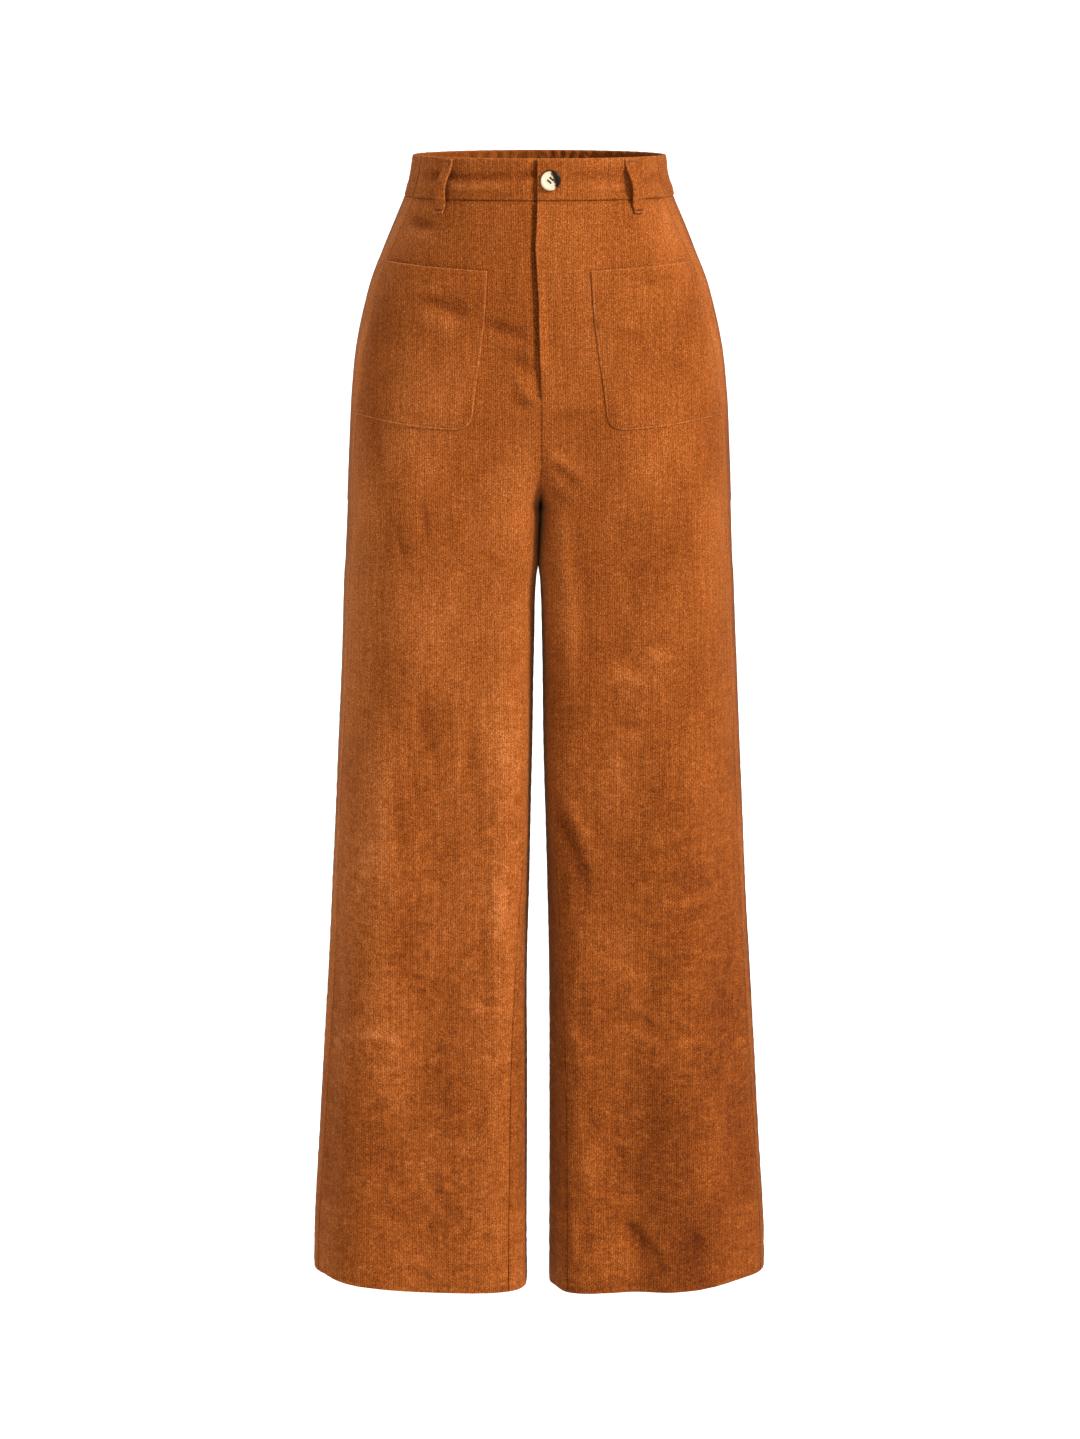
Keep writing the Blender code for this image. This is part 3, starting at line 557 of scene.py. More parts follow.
def edge_tone(distance, width, strength):
    """A thin line painted along an edge: darker as painted shade in a seam, paler on a fold as worn pile
    and painted highlight. A Gaussian of this width in mm.
    """
    return strength * np.exp(-((distance / (width * MM)) ** 2))


def painted_relief_shade(relief):
    """Painted shade in a trough and painted highlight on a ridge, in step with the relief."""
    return np.clip(CREASE_TONE * relief / MM, TROUGH_TONE, RIDGE_TONE)


def nap_tone(marks, leg, u, z):
    """How much paler or darker the nap lies: soft ellipses with ragged outlines."""
    ragged = 1 + NAP_RAGGED * unevenness(u, z, 16 * MM, 1.2, 71)
    tone = np.zeros(np.broadcast(u, z).shape)
    for u0, z0, half_width, half_height, strength in of_leg(marks, leg):
        away = ((u / MM - u0) / half_width) ** 2 + ((z / MM - z0) / half_height) ** 2
        tone = tone + NAP_SHARE * strength * np.exp(-away * ragged**2)
    return np.clip(tone, -1, 1)


def grid_quads(rows, columns, first=0):
    """The vertex numbers of a grid's quads, row by row."""
    corner = first + np.arange(rows - 1)[:, None] * columns + np.arange(columns - 1)
    corner = corner.ravel()
    return np.stack([corner, corner + columns, corner + columns + 1, corner + 1], axis=1)


def mesh_object(name, points, quads, materials, material_index=None, run=None, tone=None):
    """A smooth object from arrays of points and quads, turned so that its faces point out: the signed
    volume of the quads' own pyramids is positive then. run is the cloth's UV map in metres, and tone
    the crushed pile's own tone together with painted shade and painted highlight."""
    a, b, c, d = (points[quads[:, i]] for i in range(4))
    if np.einsum("ij,ij->", np.cross(c - a, d - b), a + b + c + d) < 0:
        quads = quads[:, ::-1]
    mesh = bpy.data.meshes.new(name)
    mesh.vertices.add(len(points))
    mesh.vertices.foreach_set("co", points.astype(np.float32).ravel())
    mesh.loops.add(quads.size)
    mesh.loops.foreach_set("vertex_index", quads.astype(np.int32).ravel())
    mesh.polygons.add(len(quads))
    mesh.polygons.foreach_set("loop_start", np.arange(0, quads.size, 4, dtype=np.int32))
    for material in materials:
        mesh.materials.append(material)
    if material_index is not None:
        mesh.polygons.foreach_set("material_index", material_index.astype(np.int32))
    if run is not None:
        mesh.uv_layers.new(name="cloth")
        mesh.uv_layers["cloth"].data.foreach_set("uv", run[quads.ravel()].astype(np.float32).ravel())
    if tone is not None:
        mesh.attributes.new("nap_and_painted_shade", "FLOAT", "POINT")
        mesh.attributes["nap_and_painted_shade"].data.foreach_set("value", tone.astype(np.float32).ravel())
    mesh.update(calc_edges=True)
    mesh.validate()
    mesh.shade_smooth()
    thing = bpy.data.objects.new(name, mesh)
    bpy.context.scene.collection.objects.link(thing)
    return thing


def cloth_shell(name, outer, inner, u, v, tone=0.0, faces_of=None):
    """A closed thin shell between two grids of points, with the right side of the cloth outside and its
    reverse inside, and a rim of quads round the four edges."""
    rows, columns = outer.shape[:2]
    count = rows * columns
    number = np.arange(count).reshape(rows, columns)
    rim = np.concatenate([number[0], number[1:, -1], number[-1, -2::-1], number[-2::-1, 0]])
    rim_quads = np.stack([rim[:-1], rim[1:], rim[1:] + count, rim[:-1] + count], axis=1)
    outside = grid_quads(rows, columns)
    inside = grid_quads(rows, columns, count)[:, ::-1]
    quads = np.concatenate([outside, rim_quads, inside])
    reverse = np.repeat([0, 0, 1], [len(outside), len(rim_quads), len(inside)])
    run = np.stack(np.broadcast_arrays(u, v), axis=-1).reshape(-1, 2)
    tone = np.broadcast_to(tone, (rows, columns)).ravel()
    return mesh_object(
        name,
        np.concatenate([outer.reshape(-1, 3), inner.reshape(-1, 3)]),
        quads,
        faces_of or (corduroy_face, corduroy_reverse),
        reverse,
        np.concatenate([run, run]),
        np.concatenate([tone, tone]),
    )


def add_node(tree, kind, settings=(), **inputs):
    """A shader node with some of its sockets filled: with a value, or with another node's socket."""
    made = tree.nodes.new(kind)
    for key, value in dict(settings).items():
        setattr(made, key, value)
    for key, value in inputs.items():
        by_number = key[0] == "i" and key[1:].isdigit()
        socket = made.inputs[int(key[1:]) if by_number else key.replace("_", " ")]
        if isinstance(value, bpy.types.NodeSocket):
            tree.links.new(value, socket)
        else:
            socket.default_value = value
    return made


def maths(tree, operation, first, second=0.0, third=0.0):
    """One step of arithmetic."""
    step = add_node(tree, "ShaderNodeMath", {"operation": operation}, i0=first, i1=second, i2=third)
    return step.outputs[0]


def blank_material(name):
    """A material with its node tree and shader."""
    material = bpy.data.materials.new(name)
    material.use_nodes = True
    return material, material.node_tree, material.node_tree.nodes["Principled BSDF"]


def stretched_noise(tree, place, across, along, detail=2.0, roughness=0.5, distortion=0.0):
    """Noise whose grains have this size in metres across the wales and along them."""
    scale = add_node(tree, "ShaderNodeMapping", Vector=place, Scale=(1 / across, 1 / along, 1.0))
    noise = add_node(
        tree,
        "ShaderNodeTexNoise",
        {"noise_dimensions": "2D"},
        Vector=scale.outputs[0],
        Scale=1.0,
        Detail=detail,
        Roughness=roughness,
        Distortion=distortion,
    )
    return noise.outputs[0]


WALE = 2.0 * MM
CORD_SHADES = (
    # place on the ramp, red, green, blue
    (0.0, 0.062, 0.0110, 0.0014),
    (0.3, 0.148, 0.0315, 0.0036),
    (0.5, 0.232, 0.0550, 0.0070),
    (0.7, 0.335, 0.0900, 0.0165),
    (1.0, 0.560, 0.1900, 0.0620),
)


def corduroy(name, cord_depth, fuzz, contrast):
    """Fine-wale corduroy: rounded cords down the cloth, a nap that is mottled and stroked in streaks,
    and crushed patches that grow down the leg. cord_depth and fuzz are heights in mm."""
    material, tree, shader = blank_material(name)
    place = add_node(tree, "ShaderNodeUVMap", {"uv_map": "cloth"}).outputs[0]
    nap_and_painted_shade = add_node(tree, "ShaderNodeAttribute", {"attribute_name": "nap_and_painted_shade"}).outputs["Fac"]
    uv = add_node(tree, "ShaderNodeSeparateXYZ", Vector=place)
    wander = stretched_noise(tree, place, 20 * MM, 60 * MM)
    across = maths(tree, "ADD", maths(tree, "DIVIDE", uv.outputs[0], WALE), wander)
    cord = maths(tree, "ABSOLUTE", maths(tree, "SINE", maths(tree, "MULTIPLY", across, math.pi)))
    pile = stretched_noise(tree, place, 0.8 * MM, 1.3 * MM, 2.0, 0.6)
    tuft = stretched_noise(tree, place, 1.7 * MM, 3.8 * MM, 2.0, 0.6)
    streak = stretched_noise(tree, place, 3.2 * MM, 55 * MM, 3.0, 0.6)
    crush = stretched_noise(tree, place, 13 * MM, 8 * MM, 5.0, 0.7, 0.8)
    broad = stretched_noise(tree, place, 60 * MM, 90 * MM, 2.0)
    lower = add_node(
        tree, "ShaderNodeMapRange", Value=uv.outputs[1], i1=-0.15, i2=-0.8, i3=0.35, i4=1.0
    ).outputs[0]
    crushed = maths(tree, "MULTIPLY", maths(tree, "SUBTRACT", crush, 0.5), lower)
    shade = maths(tree, "MULTIPLY_ADD", crushed, 0.55 * contrast, 0.5)
    for pattern, share in ((pile, 1.3), (tuft, 0.55), (streak, 0.3), (broad, 0.25)):
        centred = maths(tree, "SUBTRACT", pattern, 0.5)
        shade = maths(tree, "MULTIPLY_ADD", centred, share * contrast, shade)
    # The attribute read here brings the crushed pile's own tone together with painted shade and painted
    # highlight.
    shade = maths(tree, "MULTIPLY_ADD", nap_and_painted_shade, 0.2 * contrast, shade)
    shade = maths(tree, "MULTIPLY_ADD", maths(tree, "SUBTRACT", cord, 0.64), 0.15 * contrast, shade)
    # Painted shade: the cloth is darkened where it turns away from the view, drawing a dark outline.
    facing = add_node(tree, "ShaderNodeLayerWeight", Blend=0.5).outputs["Facing"]
    rim = add_node(tree, "ShaderNodeMapRange", Value=facing, i1=0.78, i2=1.0, i3=0.0, i4=0.42).outputs[0]
    shade = maths(tree, "SUBTRACT", shade, rim)
    ramp = add_node(tree, "ShaderNodeValToRGB", Fac=shade)
    while len(ramp.color_ramp.elements) < len(CORD_SHADES):
        ramp.color_ramp.elements.new(0.5)
    for stop, (at, *colour) in zip(ramp.color_ramp.elements, CORD_SHADES):
        stop.position = at
        stop.color = (*colour, 1.0)
    tree.links.new(ramp.outputs[0], shader.inputs["Base Color"])
    height = maths(tree, "MULTIPLY", cord, cord_depth)
    height = maths(tree, "MULTIPLY_ADD", pile, fuzz, height)
    height = maths(tree, "MULTIPLY_ADD", tuft, fuzz, height)
    height = maths(tree, "MULTIPLY_ADD", crushed, 0.5, height)
    bump = add_node(tree, "ShaderNodeBump", Height=height, Distance=MM, Strength=0.8)
    tree.links.new(bump.outputs[0], shader.inputs["Normal"])
    shader.inputs["Roughness"].default_value = 0.95
    shader.inputs["Specular IOR Level"].default_value = 0.06
    shader.inputs["Sheen Weight"].default_value = 0.16
    shader.inputs["Sheen Roughness"].default_value = 0.4
    shader.inputs["Sheen Tint"].default_value = (1.0, 0.50, 0.20, 1.0)
    return material


corduroy_face = corduroy("corduroy", 0.18, 0.14, 1.0)
corduroy_reverse = corduroy("corduroy_reverse", 0.08, 0.18, 0.6)


DRAWN_OVER = 4 * MM


def met_at_middle(leg, points, from_edge, z, top):
    """Points of a panel near its rise seam, drawn over below a height until its edge lies on the middle
    plane."""
    plane = reading(SEAM_TURNS, 3, z[:, 0]) * MM
    edge = np.argmin(from_edge[0])
    gap = (points[:, edge, 0] - plane) * ease((z[:, 0] - CROTCH) / (1.5 * DRAWN_OVER) + 1)
    gap = gap * (leg * gap > 0) * ease((top - z[:, 0]) / DRAWN_OVER)
    moved = points.copy()
    moved[..., 0] -= gap[:, None] * ease(1 - from_edge / DRAWN_OVER)
    return moved


def grain_turn(z):
    """The angle of the grain line on a front."""
    return turn_at(GRAIN_LINE, z)


def wall_at(z):
    """The panel's thickness: the hem is turned up and has two layers."""
    return CLOTH * (1 + ease((HEM + HEM_HEIGHT + 2 * MM - z) / (2 * MM)))


def fly_share(z):
    """1 beside the fly, and 0 below it."""
    return ease((z - FLY_BOTTOM) / (4 * MM))


def sunk(distance, z, depth):
    """How deep the right front lies where it goes under the overlap, this far from the middle."""
    fade = ease((z - FLY_BOTTOM) / FLY_SINK_FADE + 1)
    return depth * fade * ease((FLY_SINK_FROM - distance) / (FLY_SINK_FROM - FLY_SINK_TO))


def front_start(leg, z):
    """The angle of a front's inner edge: the fly's edge, then the rise seam, then the inseam."""
    wobble = LAP_WOBBLE * np.sin(z / (7.3 * MM)) * np.sin(z / (19 * MM) + 1.0)
    lap = reading(FLY_EDGE, 1, z) * MM + wobble if leg > 0 else UNDERLAP + 0 * z
    edge = np.where(z > FLY_BOTTOM, -lap * fly_share(z), 0.0)
    return np.where(z > CROTCH, turn_at(edge, z), reading(SEAM_TURNS, 2, z))


def hem_line(z):
    """The shallow dent that the blind stitches draw at the hem's top: a Gaussian."""
    return -HEM_DENT * np.exp(-(((z - HEM - HEM_HEIGHT) / HEM_DENT_WIDTH) ** 2))


def front_relief(leg, turn, z):
    """A front's own relief, flat where it meets the seams."""
    u = arc(grain_turn(z), turn, z)
    from_seams = np.minimum(arc(front_start(leg, z), turn, z), arc(turn, side_turn(z), z))
    waist = ease((WAIST_SEAM - z) / (12 * MM))
    seed = 11 if leg < 0 else 23
    relief = worn_relief(FRONT_CREASES, leg, u, z, seed) * ease(from_seams / SEAM_FLAT) * waist
    return relief, u


NEAR_SEAM = np.array([0, 0.3, 0.8, 1.6]) * MM
CROTCH_ROWS = 26
CROTCH_REACH = 10 * MM
FRONT_ROWS = 350
FRONT_COLUMNS = 98


def panel_heights(count):
    """Heights of a panel's rows, from the waist seam to the hem: close together at both, and above the
    crotch, where the rise seam turns from the front to between the legs."""
    crotch = CROTCH + CROTCH_REACH * np.linspace(0.02, 1, CROTCH_ROWS) ** 2.3
    return np.sort(np.append(rows_between(WAIST_SEAM, HEM, count, NEAR_SEAM), crotch))[::-1, None]


for side_name, leg in SIDES:
    z = panel_heights(FRONT_ROWS)
    start, end = front_start(leg, z), side_turn(z)
    turns = turns_between(start, end, z, FRONT_COLUMNS, NEAR_SEAM)
    relief, u = front_relief(leg, turns, z)
    from_edge, from_side = arc(start, turns, z), arc(turns, end, z)
    edge = rounded(from_edge) * rounded(from_side) * rounded(z - HEM) * rounded(WAIST_SEAM - z)
    face = relief + hem_line(z)
    # Its tone: the crushed pile, painted shade and light down the leg, and painted shade in the creases'
    # troughs with painted highlight on their ridges.
    tone = nap_tone(FRONT_NAP, leg, u, z) + painted_leg_shade(leg, u, z) + painted_relief_shade(relief)
    if leg > 0:
        curl = ease(1 - from_edge / LAP_CURL_REACH) * ease((z - FLY_BOTTOM - 8 * MM) / (20 * MM))
        face = face + LAP_CURL * curl
        by_fly = fly_share(z)
    else:
        from_middle = distance_at(turns, z)
        face = face - sunk(from_middle, z, CLOTH + 2 * SEAM)
        lap = reading(FLY_EDGE, 1, z) * MM
        tone = tone + edge_tone(from_middle - lap, *LAP_SHADOW) * fly_share(z)
        by_fly = 0.0
    # Painted lines: on the lap's edge and the hem fold a paler line, partly worn pile and partly painted
    # highlight; painted shade in the seams and at the waist seam.
    tone = tone + edge_tone(from_edge, *LAP_LINE) * by_fly + edge_tone(from_edge, *SEAM_LINE) * (1 - by_fly)
    tone = tone + edge_tone(from_side, *SEAM_LINE) + edge_tone(z - HEM, *HEM_LINE)
    tone = tone + edge_tone(WAIST_SEAM - z, *WAIST_LINE)
    faces = wall_faces(leg, turns, lifted(turns, z), face, wall_at(z), edge)
    outer, inner = (met_at_middle(leg, points, from_edge, z, FLY_BOTTOM + 2 * MM) for points in faces)
    front = cloth_shell(f"cloth_front_{side_name}", outer, inner, u, z + 0 * u, tone)
    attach(front, "root")
    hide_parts(f"front_{side_name}")


# ---- Back panels --------------------------------------------------------------------------------
# Two backs of the same cloth, wider than the fronts and eased into the elastic at the waist, where they
# fall in small gathers. They wrap round the inner leg to the inseam on its front.

PANEL_GATHERS = 9
PANEL_GATHER_END = -85 * MM
GATHER_DEPTH = 1.7 * MM
BACK_CREASES = (
    # leg, u start, height start, u end, height end, bow, depth (below 0) or height, half width
    (-1, 52, -205, -30, -262, -8.0, -2.0, 7.0),
    (-1, 58, -236, -6, -286, -6.0, -1.5, 6.0),
    (-1, 50, -222, -20, -276, -7.0, 1.0, 7.0),
    (-1, 60, -300, 10, -352, -6.0, -1.6, 7.0),
    (-1, 20, -110, -70, -128, 5.0, -0.9, 7.0),
    (-1, -150, -300, -120, -420, 4.0, -1.0, 7.0),
    (-1, -60, -560, 20, -582, -5.0, -1.3, 6.0),
    (-1, -40, -604, 40, -616, 4.0, -1.0, 6.0),
    (-1, -90, -590, -30, -624, 3.0, 0.9, 6.0),
    (-1, 30, -640, -50, -668, 4.0, -1.2, 6.0),
    (-1, -120, -700, -70, -728, 3.0, -0.8, 5.0),
    (-1, 60, -740, -10, -758, 3.0, -0.9, 5.0),
    (-1, -40, -800, 30, -824, 4.0, 0.9, 6.0),
    (-1, 70, -850, 20, -900, 4.0, -1.1, 5.0),
    (-1, -100, -900, -60, -985, 5.0, -1.4, 6.0),
    (-1, 10, -930, 40, -1005, 4.0, -1.3, 5.0),
    (1, 54, -200, -26, -258, -7.0, -1.9, 7.0),
    (1, 56, -232, 0, -284, -6.0, -1.6, 6.0),
    (1, 50, -216, -20, -272, -7.0, 1.0, 7.0),
    (1, 64, -306, 4, -350, -5.0, -1.5, 7.0),
    (1, 10, -120, -80, -132, 4.0, -0.8, 7.0),
    (1, -145, -280, -128, -400, 3.0, -1.0, 7.0),
    (1, -54, -548, 26, -576, -5.0, -1.2, 6.0),
    (1, -50, -592, 34, -612, 4.0, -1.1, 6.0),
    (1, -100, -570, -36, -606, 3.0, 0.9, 6.0),
    (1, 40, -652, -44, -672, 4.0, -1.2, 6.0),
    (1, -130, -690, -76, -714, 3.0, -0.8, 5.0),
    (1, 50, -730, -20, -760, 3.0, -1.0, 5.0),
    (1, -30, -812, 40, -830, 4.0, 0.9, 6.0),
    (1, 76, -840, 24, -908, 4.0, -1.1, 5.0),
    (1, -110, -880, -70, -980, 5.0, -1.4, 6.0),
    (1, 0, -920, 34, -1006, 4.0, -1.3, 5.0),
)
BACK_NAP = (
    # leg, u, height, half width, half height, tone
    (-1, -40, -180, 40, 40, 0.4),
    (-1, 20, -420, 24, 60, -0.5),
    (-1, -70, -520, 20, 80, 0.5),
    (-1, 30, -640, 26, 26, -0.7),
    (-1, -30, -760, 22, 60, 0.5),
    (-1, 60, -880, 20, 50, -0.6),
    (-1, -80, -960, 24, 40, -0.6),
    (1, -36, -170, 38, 44, 0.4),
    (1, 26, -440, 22, 56, -0.5),
    (1, -60, -540, 22, 70, 0.5),
    (1, 20, -660, 28, 24, -0.7),
    (1, -40, -780, 20, 66, 0.5),
    (1, 50, -900, 22, 46, -0.6),
    (1, -90, -940, 24, 50, -0.6),
)
BACK_ROWS = 350
BACK_COLUMNS = 122
SIDE_TONE_AT = 110 * MM  # a back's tone at the side seam is the front's this far from its grain line
# A painted highlight on a back beside its side seam, and painted shade in its seams.
SIDE_GLOW = (9.0, 0.2)
BACK_SEAM_LINE = (0.8, -0.45)


def gather_wave(share, count):
    """Uneven gathers across a width, from 0 to 1 high: a raised cosine whose phase and height drift in
    slow sines."""
    drift = 0.22 * np.sin(2 * math.pi * 3.3 * share + 1.0) + 0.16 * np.sin(2 * math.pi * 7.1 * share)
    size = 0.78 + 0.22 * np.sin(2 * math.pi * 5.7 * share + 0.6)
    return size * (0.5 - 0.5 * np.cos(2 * math.pi * (count * share + drift)))


def panel_wave(turn, z):
    """The gathers of a back panel, which open out below the waistband and fade at its two seams."""
    start = side_turn(z)
    share = (turn - start) / (rise_turn(z) - start)
    down = ease((z - PANEL_GATHER_END) / (WAIST_SEAM - PANEL_GATHER_END))
    fade = down * ease(5 * share - 0.5) * ease(6 - 6 * share)
    return GATHER_DEPTH * fade * gather_wave(share, PANEL_GATHERS)


for side_name, leg in SIDES:
    z = panel_heights(BACK_ROWS)
    start = side_turn(z)
    end = np.where(z > CROTCH, rise_turn(z), 360.0 + inner_turn(z))
    turns = turns_between(start, end, z, BACK_COLUMNS, NEAR_SEAM)
    u = arc(360.0 - grain_turn(z), turns, z)
    from_start, from_end = arc(start, turns, z), arc(turns, end, z)
    relief = worn_relief(BACK_CREASES, leg, u, z, 37 if leg < 0 else 53)
    from_seams = np.minimum(from_start, from_end)
    relief = relief * ease(from_seams / SEAM_FLAT) * ease((WAIST_SEAM - z) / (40 * MM))
    gathers = panel_wave(turns, z)
    face = relief + hem_line(z) + gathers
    edge = rounded(from_start) * rounded(from_end) * rounded(z - HEM) * rounded(WAIST_SEAM - z)
    faces = wall_faces(leg, turns, lifted(turns, z), face, wall_at(z), edge)
    outer, inner = (met_at_middle(leg, points, from_end, z, WAIST_SEAM + 4 * MM) for points in faces)
    # Its tone: the crushed pile, painted shade and light down the leg, painted shade in troughs and between
    # the gathers with painted highlight on ridges, a painted highlight beside the side seam, painted shade
    # in the seams and a paler hem fold.
    tone = nap_tone(BACK_NAP, leg, u, z) + painted_leg_shade(leg, SIDE_TONE_AT - from_start, z)
    tone = tone + painted_relief_shade(relief + gathers - 0.5 * GATHER_DEPTH * ease(gathers / (0.2 * MM)))
    tone = tone + edge_tone(from_start, *SIDE_GLOW) + edge_tone(from_seams, *BACK_SEAM_LINE)
    tone = tone + edge_tone(z - HEM, *HEM_LINE)
    back = cloth_shell(f"cloth_back_{side_name}", outer, inner, u, z + 0 * u, tone)
    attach(back, "root")
    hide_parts(f"back_{side_name}")


# ---- Patch pockets ------------------------------------------------------------------------------
# Two patch pockets lie on the fronts, caught in the side seams, with their edges stitched down on three
# sides. Their mouths are turned under and gape a little.

POCKET_TOP = -78 * MM
POCKET_TOP_AT_SIDE = -73 * MM
POCKET_BOTTOM = -216 * MM
POCKET_BOTTOM_AT_SIDE = -208 * MM
POCKET_EDGE = (
    # height, inner edge's distance from the middle
    (-78.0, 45.2),
    (-111.0, 47.0),
    (-150.0, 51.5),
    (-185.0, 56.5),
    (-216.0, 60.0),
)
POCKET_CORNER = 13 * MM
POCKET_GAPE = 1.6 * MM  # how far the mouth stands away from the panel
POCKET_PUFF = 0.7 * MM  # and the pocket's middle
POCKET_HEIGHT = POCKET_TOP - POCKET_BOTTOM
POCKET_WIDTH = 90 * MM
POCKET_FACING = 0.35  # how much thicker the mouth is, where it is turned under
FACING_HEIGHT = 22 * MM
# Paler lines on the pocket's mouth and stitched edges: partly worn pile, partly painted highlight.
MOUTH_LINE = (0.9, 1.1)
POCKET_LINE = (0.8, 1.1)
POCKET_ROWS = 96
POCKET_COLUMNS = 84
STITCH_INSET = 1.9 * MM
STITCH_PITCH = 2.9 * MM
STITCH_LENGTH = 2.3 * MM
STITCH_DENT = 0.25 * MM
THREAD = 0.26 * MM
THREAD_SUNK = 0.1 * MM
POCKET_CREASES = (
    # leg, u start, height start, u end, height end, bow, depth (below 0) or height, half width
    (-1, 66, -92, 6, -100, 2.0, 0.5, 6.0),
    (-1, 58, -160, 88, -186, 3.0, -0.5, 7.0),
    (-1, 20, -128, 34, -176, 3.0, -0.5, 6.0),
    (-1, 70, -200, 30, -207, 2.0, -0.4, 4.0),
    (1, 2, -96, 60, -104, 3.0, 0.5, 6.0),
    (1, 40, -150, 80, -172, 3.0, -0.5, 7.0),
    (1, 84, -120, 70, -170, 3.0, 0.4, 7.0),
    (1, 20, -196, 64, -204, 2.0, -0.4, 4.0),
)


def plain_finish(name, colour, roughness, grain, depth, metallic=0.0):
    """Thread, tape, horn or metal: one colour broken by a fine noise, whose bump is depth mm."""
    material, tree, shader = blank_material(name)
    place = add_node(tree, "ShaderNodeTexCoord").outputs["Object"]
    noise = add_node(tree, "ShaderNodeTexNoise", Vector=place, Scale=1 / grain, Detail=3.0)
    ramp = add_node(tree, "ShaderNodeValToRGB", Fac=noise.outputs[0])
    for stop, at, share in zip(ramp.color_ramp.elements, (0.3, 0.7), (0.72, 1.25)):
        stop.position = at
        stop.color = (*(min(1.0, share * part) for part in colour), 1.0)
    tree.links.new(ramp.outputs[0], shader.inputs["Base Color"])
    bump = add_node(tree, "ShaderNodeBump", Height=noise.outputs[0], Distance=depth * MM, Strength=0.7)
    tree.links.new(bump.outputs[0], shader.inputs["Normal"])
    shader.inputs["Roughness"].default_value = roughness
    shader.inputs["Metallic"].default_value = metallic
    shader.inputs["Specular IOR Level"].default_value = 0.12
    return material


rust_thread = plain_finish("rust_thread", (0.20, 0.052, 0.011), 0.7, 0.5 * MM, 0.1)
black_thread = plain_finish("black_thread", (0.020, 0.012, 0.009), 0.6, 0.5 * MM, 0.1)
dark_thread = plain_finish("dark_thread", (0.10, 0.024, 0.007), 0.7, 0.5 * MM, 0.1)


def stitches(name, starts, ends, material, radius=THREAD):
    """Threads from point to point, as joined six-sided spindles that sink at both ends."""
    along = ends - starts
    length = np.linalg.norm(along, axis=1, keepdims=True)
    along = along / length
    side = np.cross(along, (0.0, 0.0, 1.0))
    upright = np.linalg.norm(side, axis=1, keepdims=True) < 0.1
    side = np.where(upright, np.cross(along, (1.0, 0.0, 0.0)), side)
    side = side / np.linalg.norm(side, axis=1, keepdims=True)
    other = np.cross(along, side)
    places = np.array([0.0, 0.12, 0.35, 0.65, 0.88, 1.0])
    girths = np.array([0.25, 0.75, 1.0, 1.0, 0.75, 0.25]) * radius
    around = np.arange(6) * math.pi / 3
    centre = starts[:, None] + (along * length)[:, None] * places[None, :, None]
    ring = side[:, None] * np.cos(around)[None, :, None] + other[:, None] * np.sin(around)[None, :, None]
    points = centre[:, :, None] + girths[None, :, None, None] * ring[:, None]
    one = np.arange(5)[:, None] * 6 + np.arange(6)
    turn = np.arange(5)[:, None] * 6 + (np.arange(6) + 1) % 6
    quads = np.stack([one, one + 6, turn + 6, turn], axis=-1).reshape(-1, 4)
    caps = np.array([[0, 1, 2, 3], [0, 3, 4, 5], [33, 32, 31, 30], [35, 34, 33, 30]])
    quads = np.concatenate([quads, caps])
    every = (np.arange(len(starts)) * 36)[:, None, None] + quads
    thing = mesh_object(name, points.reshape(-1, 3), every.reshape(-1, 4), (material,))
    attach(thing, "root")
    return thing


def stitch_row(path, pitch=STITCH_PITCH, length=STITCH_LENGTH):
    """Starts and ends of the stitches along a path of points."""
    step = np.linalg.norm(np.diff(path, axis=0), axis=1)
    run = np.concatenate([[0.0], np.cumsum(step)])
    starts = np.arange(pitch / 2, run[-1] - length, pitch)
    ends = starts + length
    return [np.stack([np.interp(at, run, part) for part in path.T], axis=1) for at in (starts, ends)]


def pocket_place(across, down):
    """The height and angle of a pocket's point, from its shares across to the side seam and down to the
    bottom."""
    top = POCKET_TOP + (POCKET_TOP_AT_SIDE - POCKET_TOP) * across
    bottom = POCKET_BOTTOM + (POCKET_BOTTOM_AT_SIDE - POCKET_BOTTOM) * ease(across)
    z = top + (bottom - top) * down
    left_over = (1 - down) * (POCKET_TOP - POCKET_BOTTOM)
    into = np.clip(POCKET_CORNER - left_over, 0.0, POCKET_CORNER)
    corner = POCKET_CORNER - np.sqrt(POCKET_CORNER**2 - into**2)
    edge_height = POCKET_TOP + (POCKET_BOTTOM - POCKET_TOP) * down
    start = turn_at(reading(POCKET_EDGE, 1, edge_height) * MM + corner, z)
    return z, start, start + (side_turn(z) - start) * across


def pocket_lift(from_inner, from_top, from_bottom, from_side):
    """How far the pocket's underside stands off the front: sewn flat at three edges, puffed between and
    gaping at the mouth."""
    sewn = np.minimum(np.minimum(from_inner, from_bottom), from_side)
    free = ease((sewn - 2 * MM) / (16 * MM))
    mouth = ease((np.minimum(from_inner, from_side) - 2 * MM) / (34 * MM))
    gape = POCKET_GAPE * ease(1 - from_top / (60 * MM)) * mouth
    stitched = -STITCH_DENT * np.exp(-(((sewn - STITCH_INSET) / (0.9 * MM)) ** 2))
    return gape + POCKET_PUFF * free + stitched


def pocket_face(leg, across, down):
    """Points on the face of a pocket at its stitches."""
    z, _, turn = pocket_place(across, down)
    return surface(leg, turn, z, front_relief(leg, turn, z)[0] + CLOTH - THREAD_SUNK)


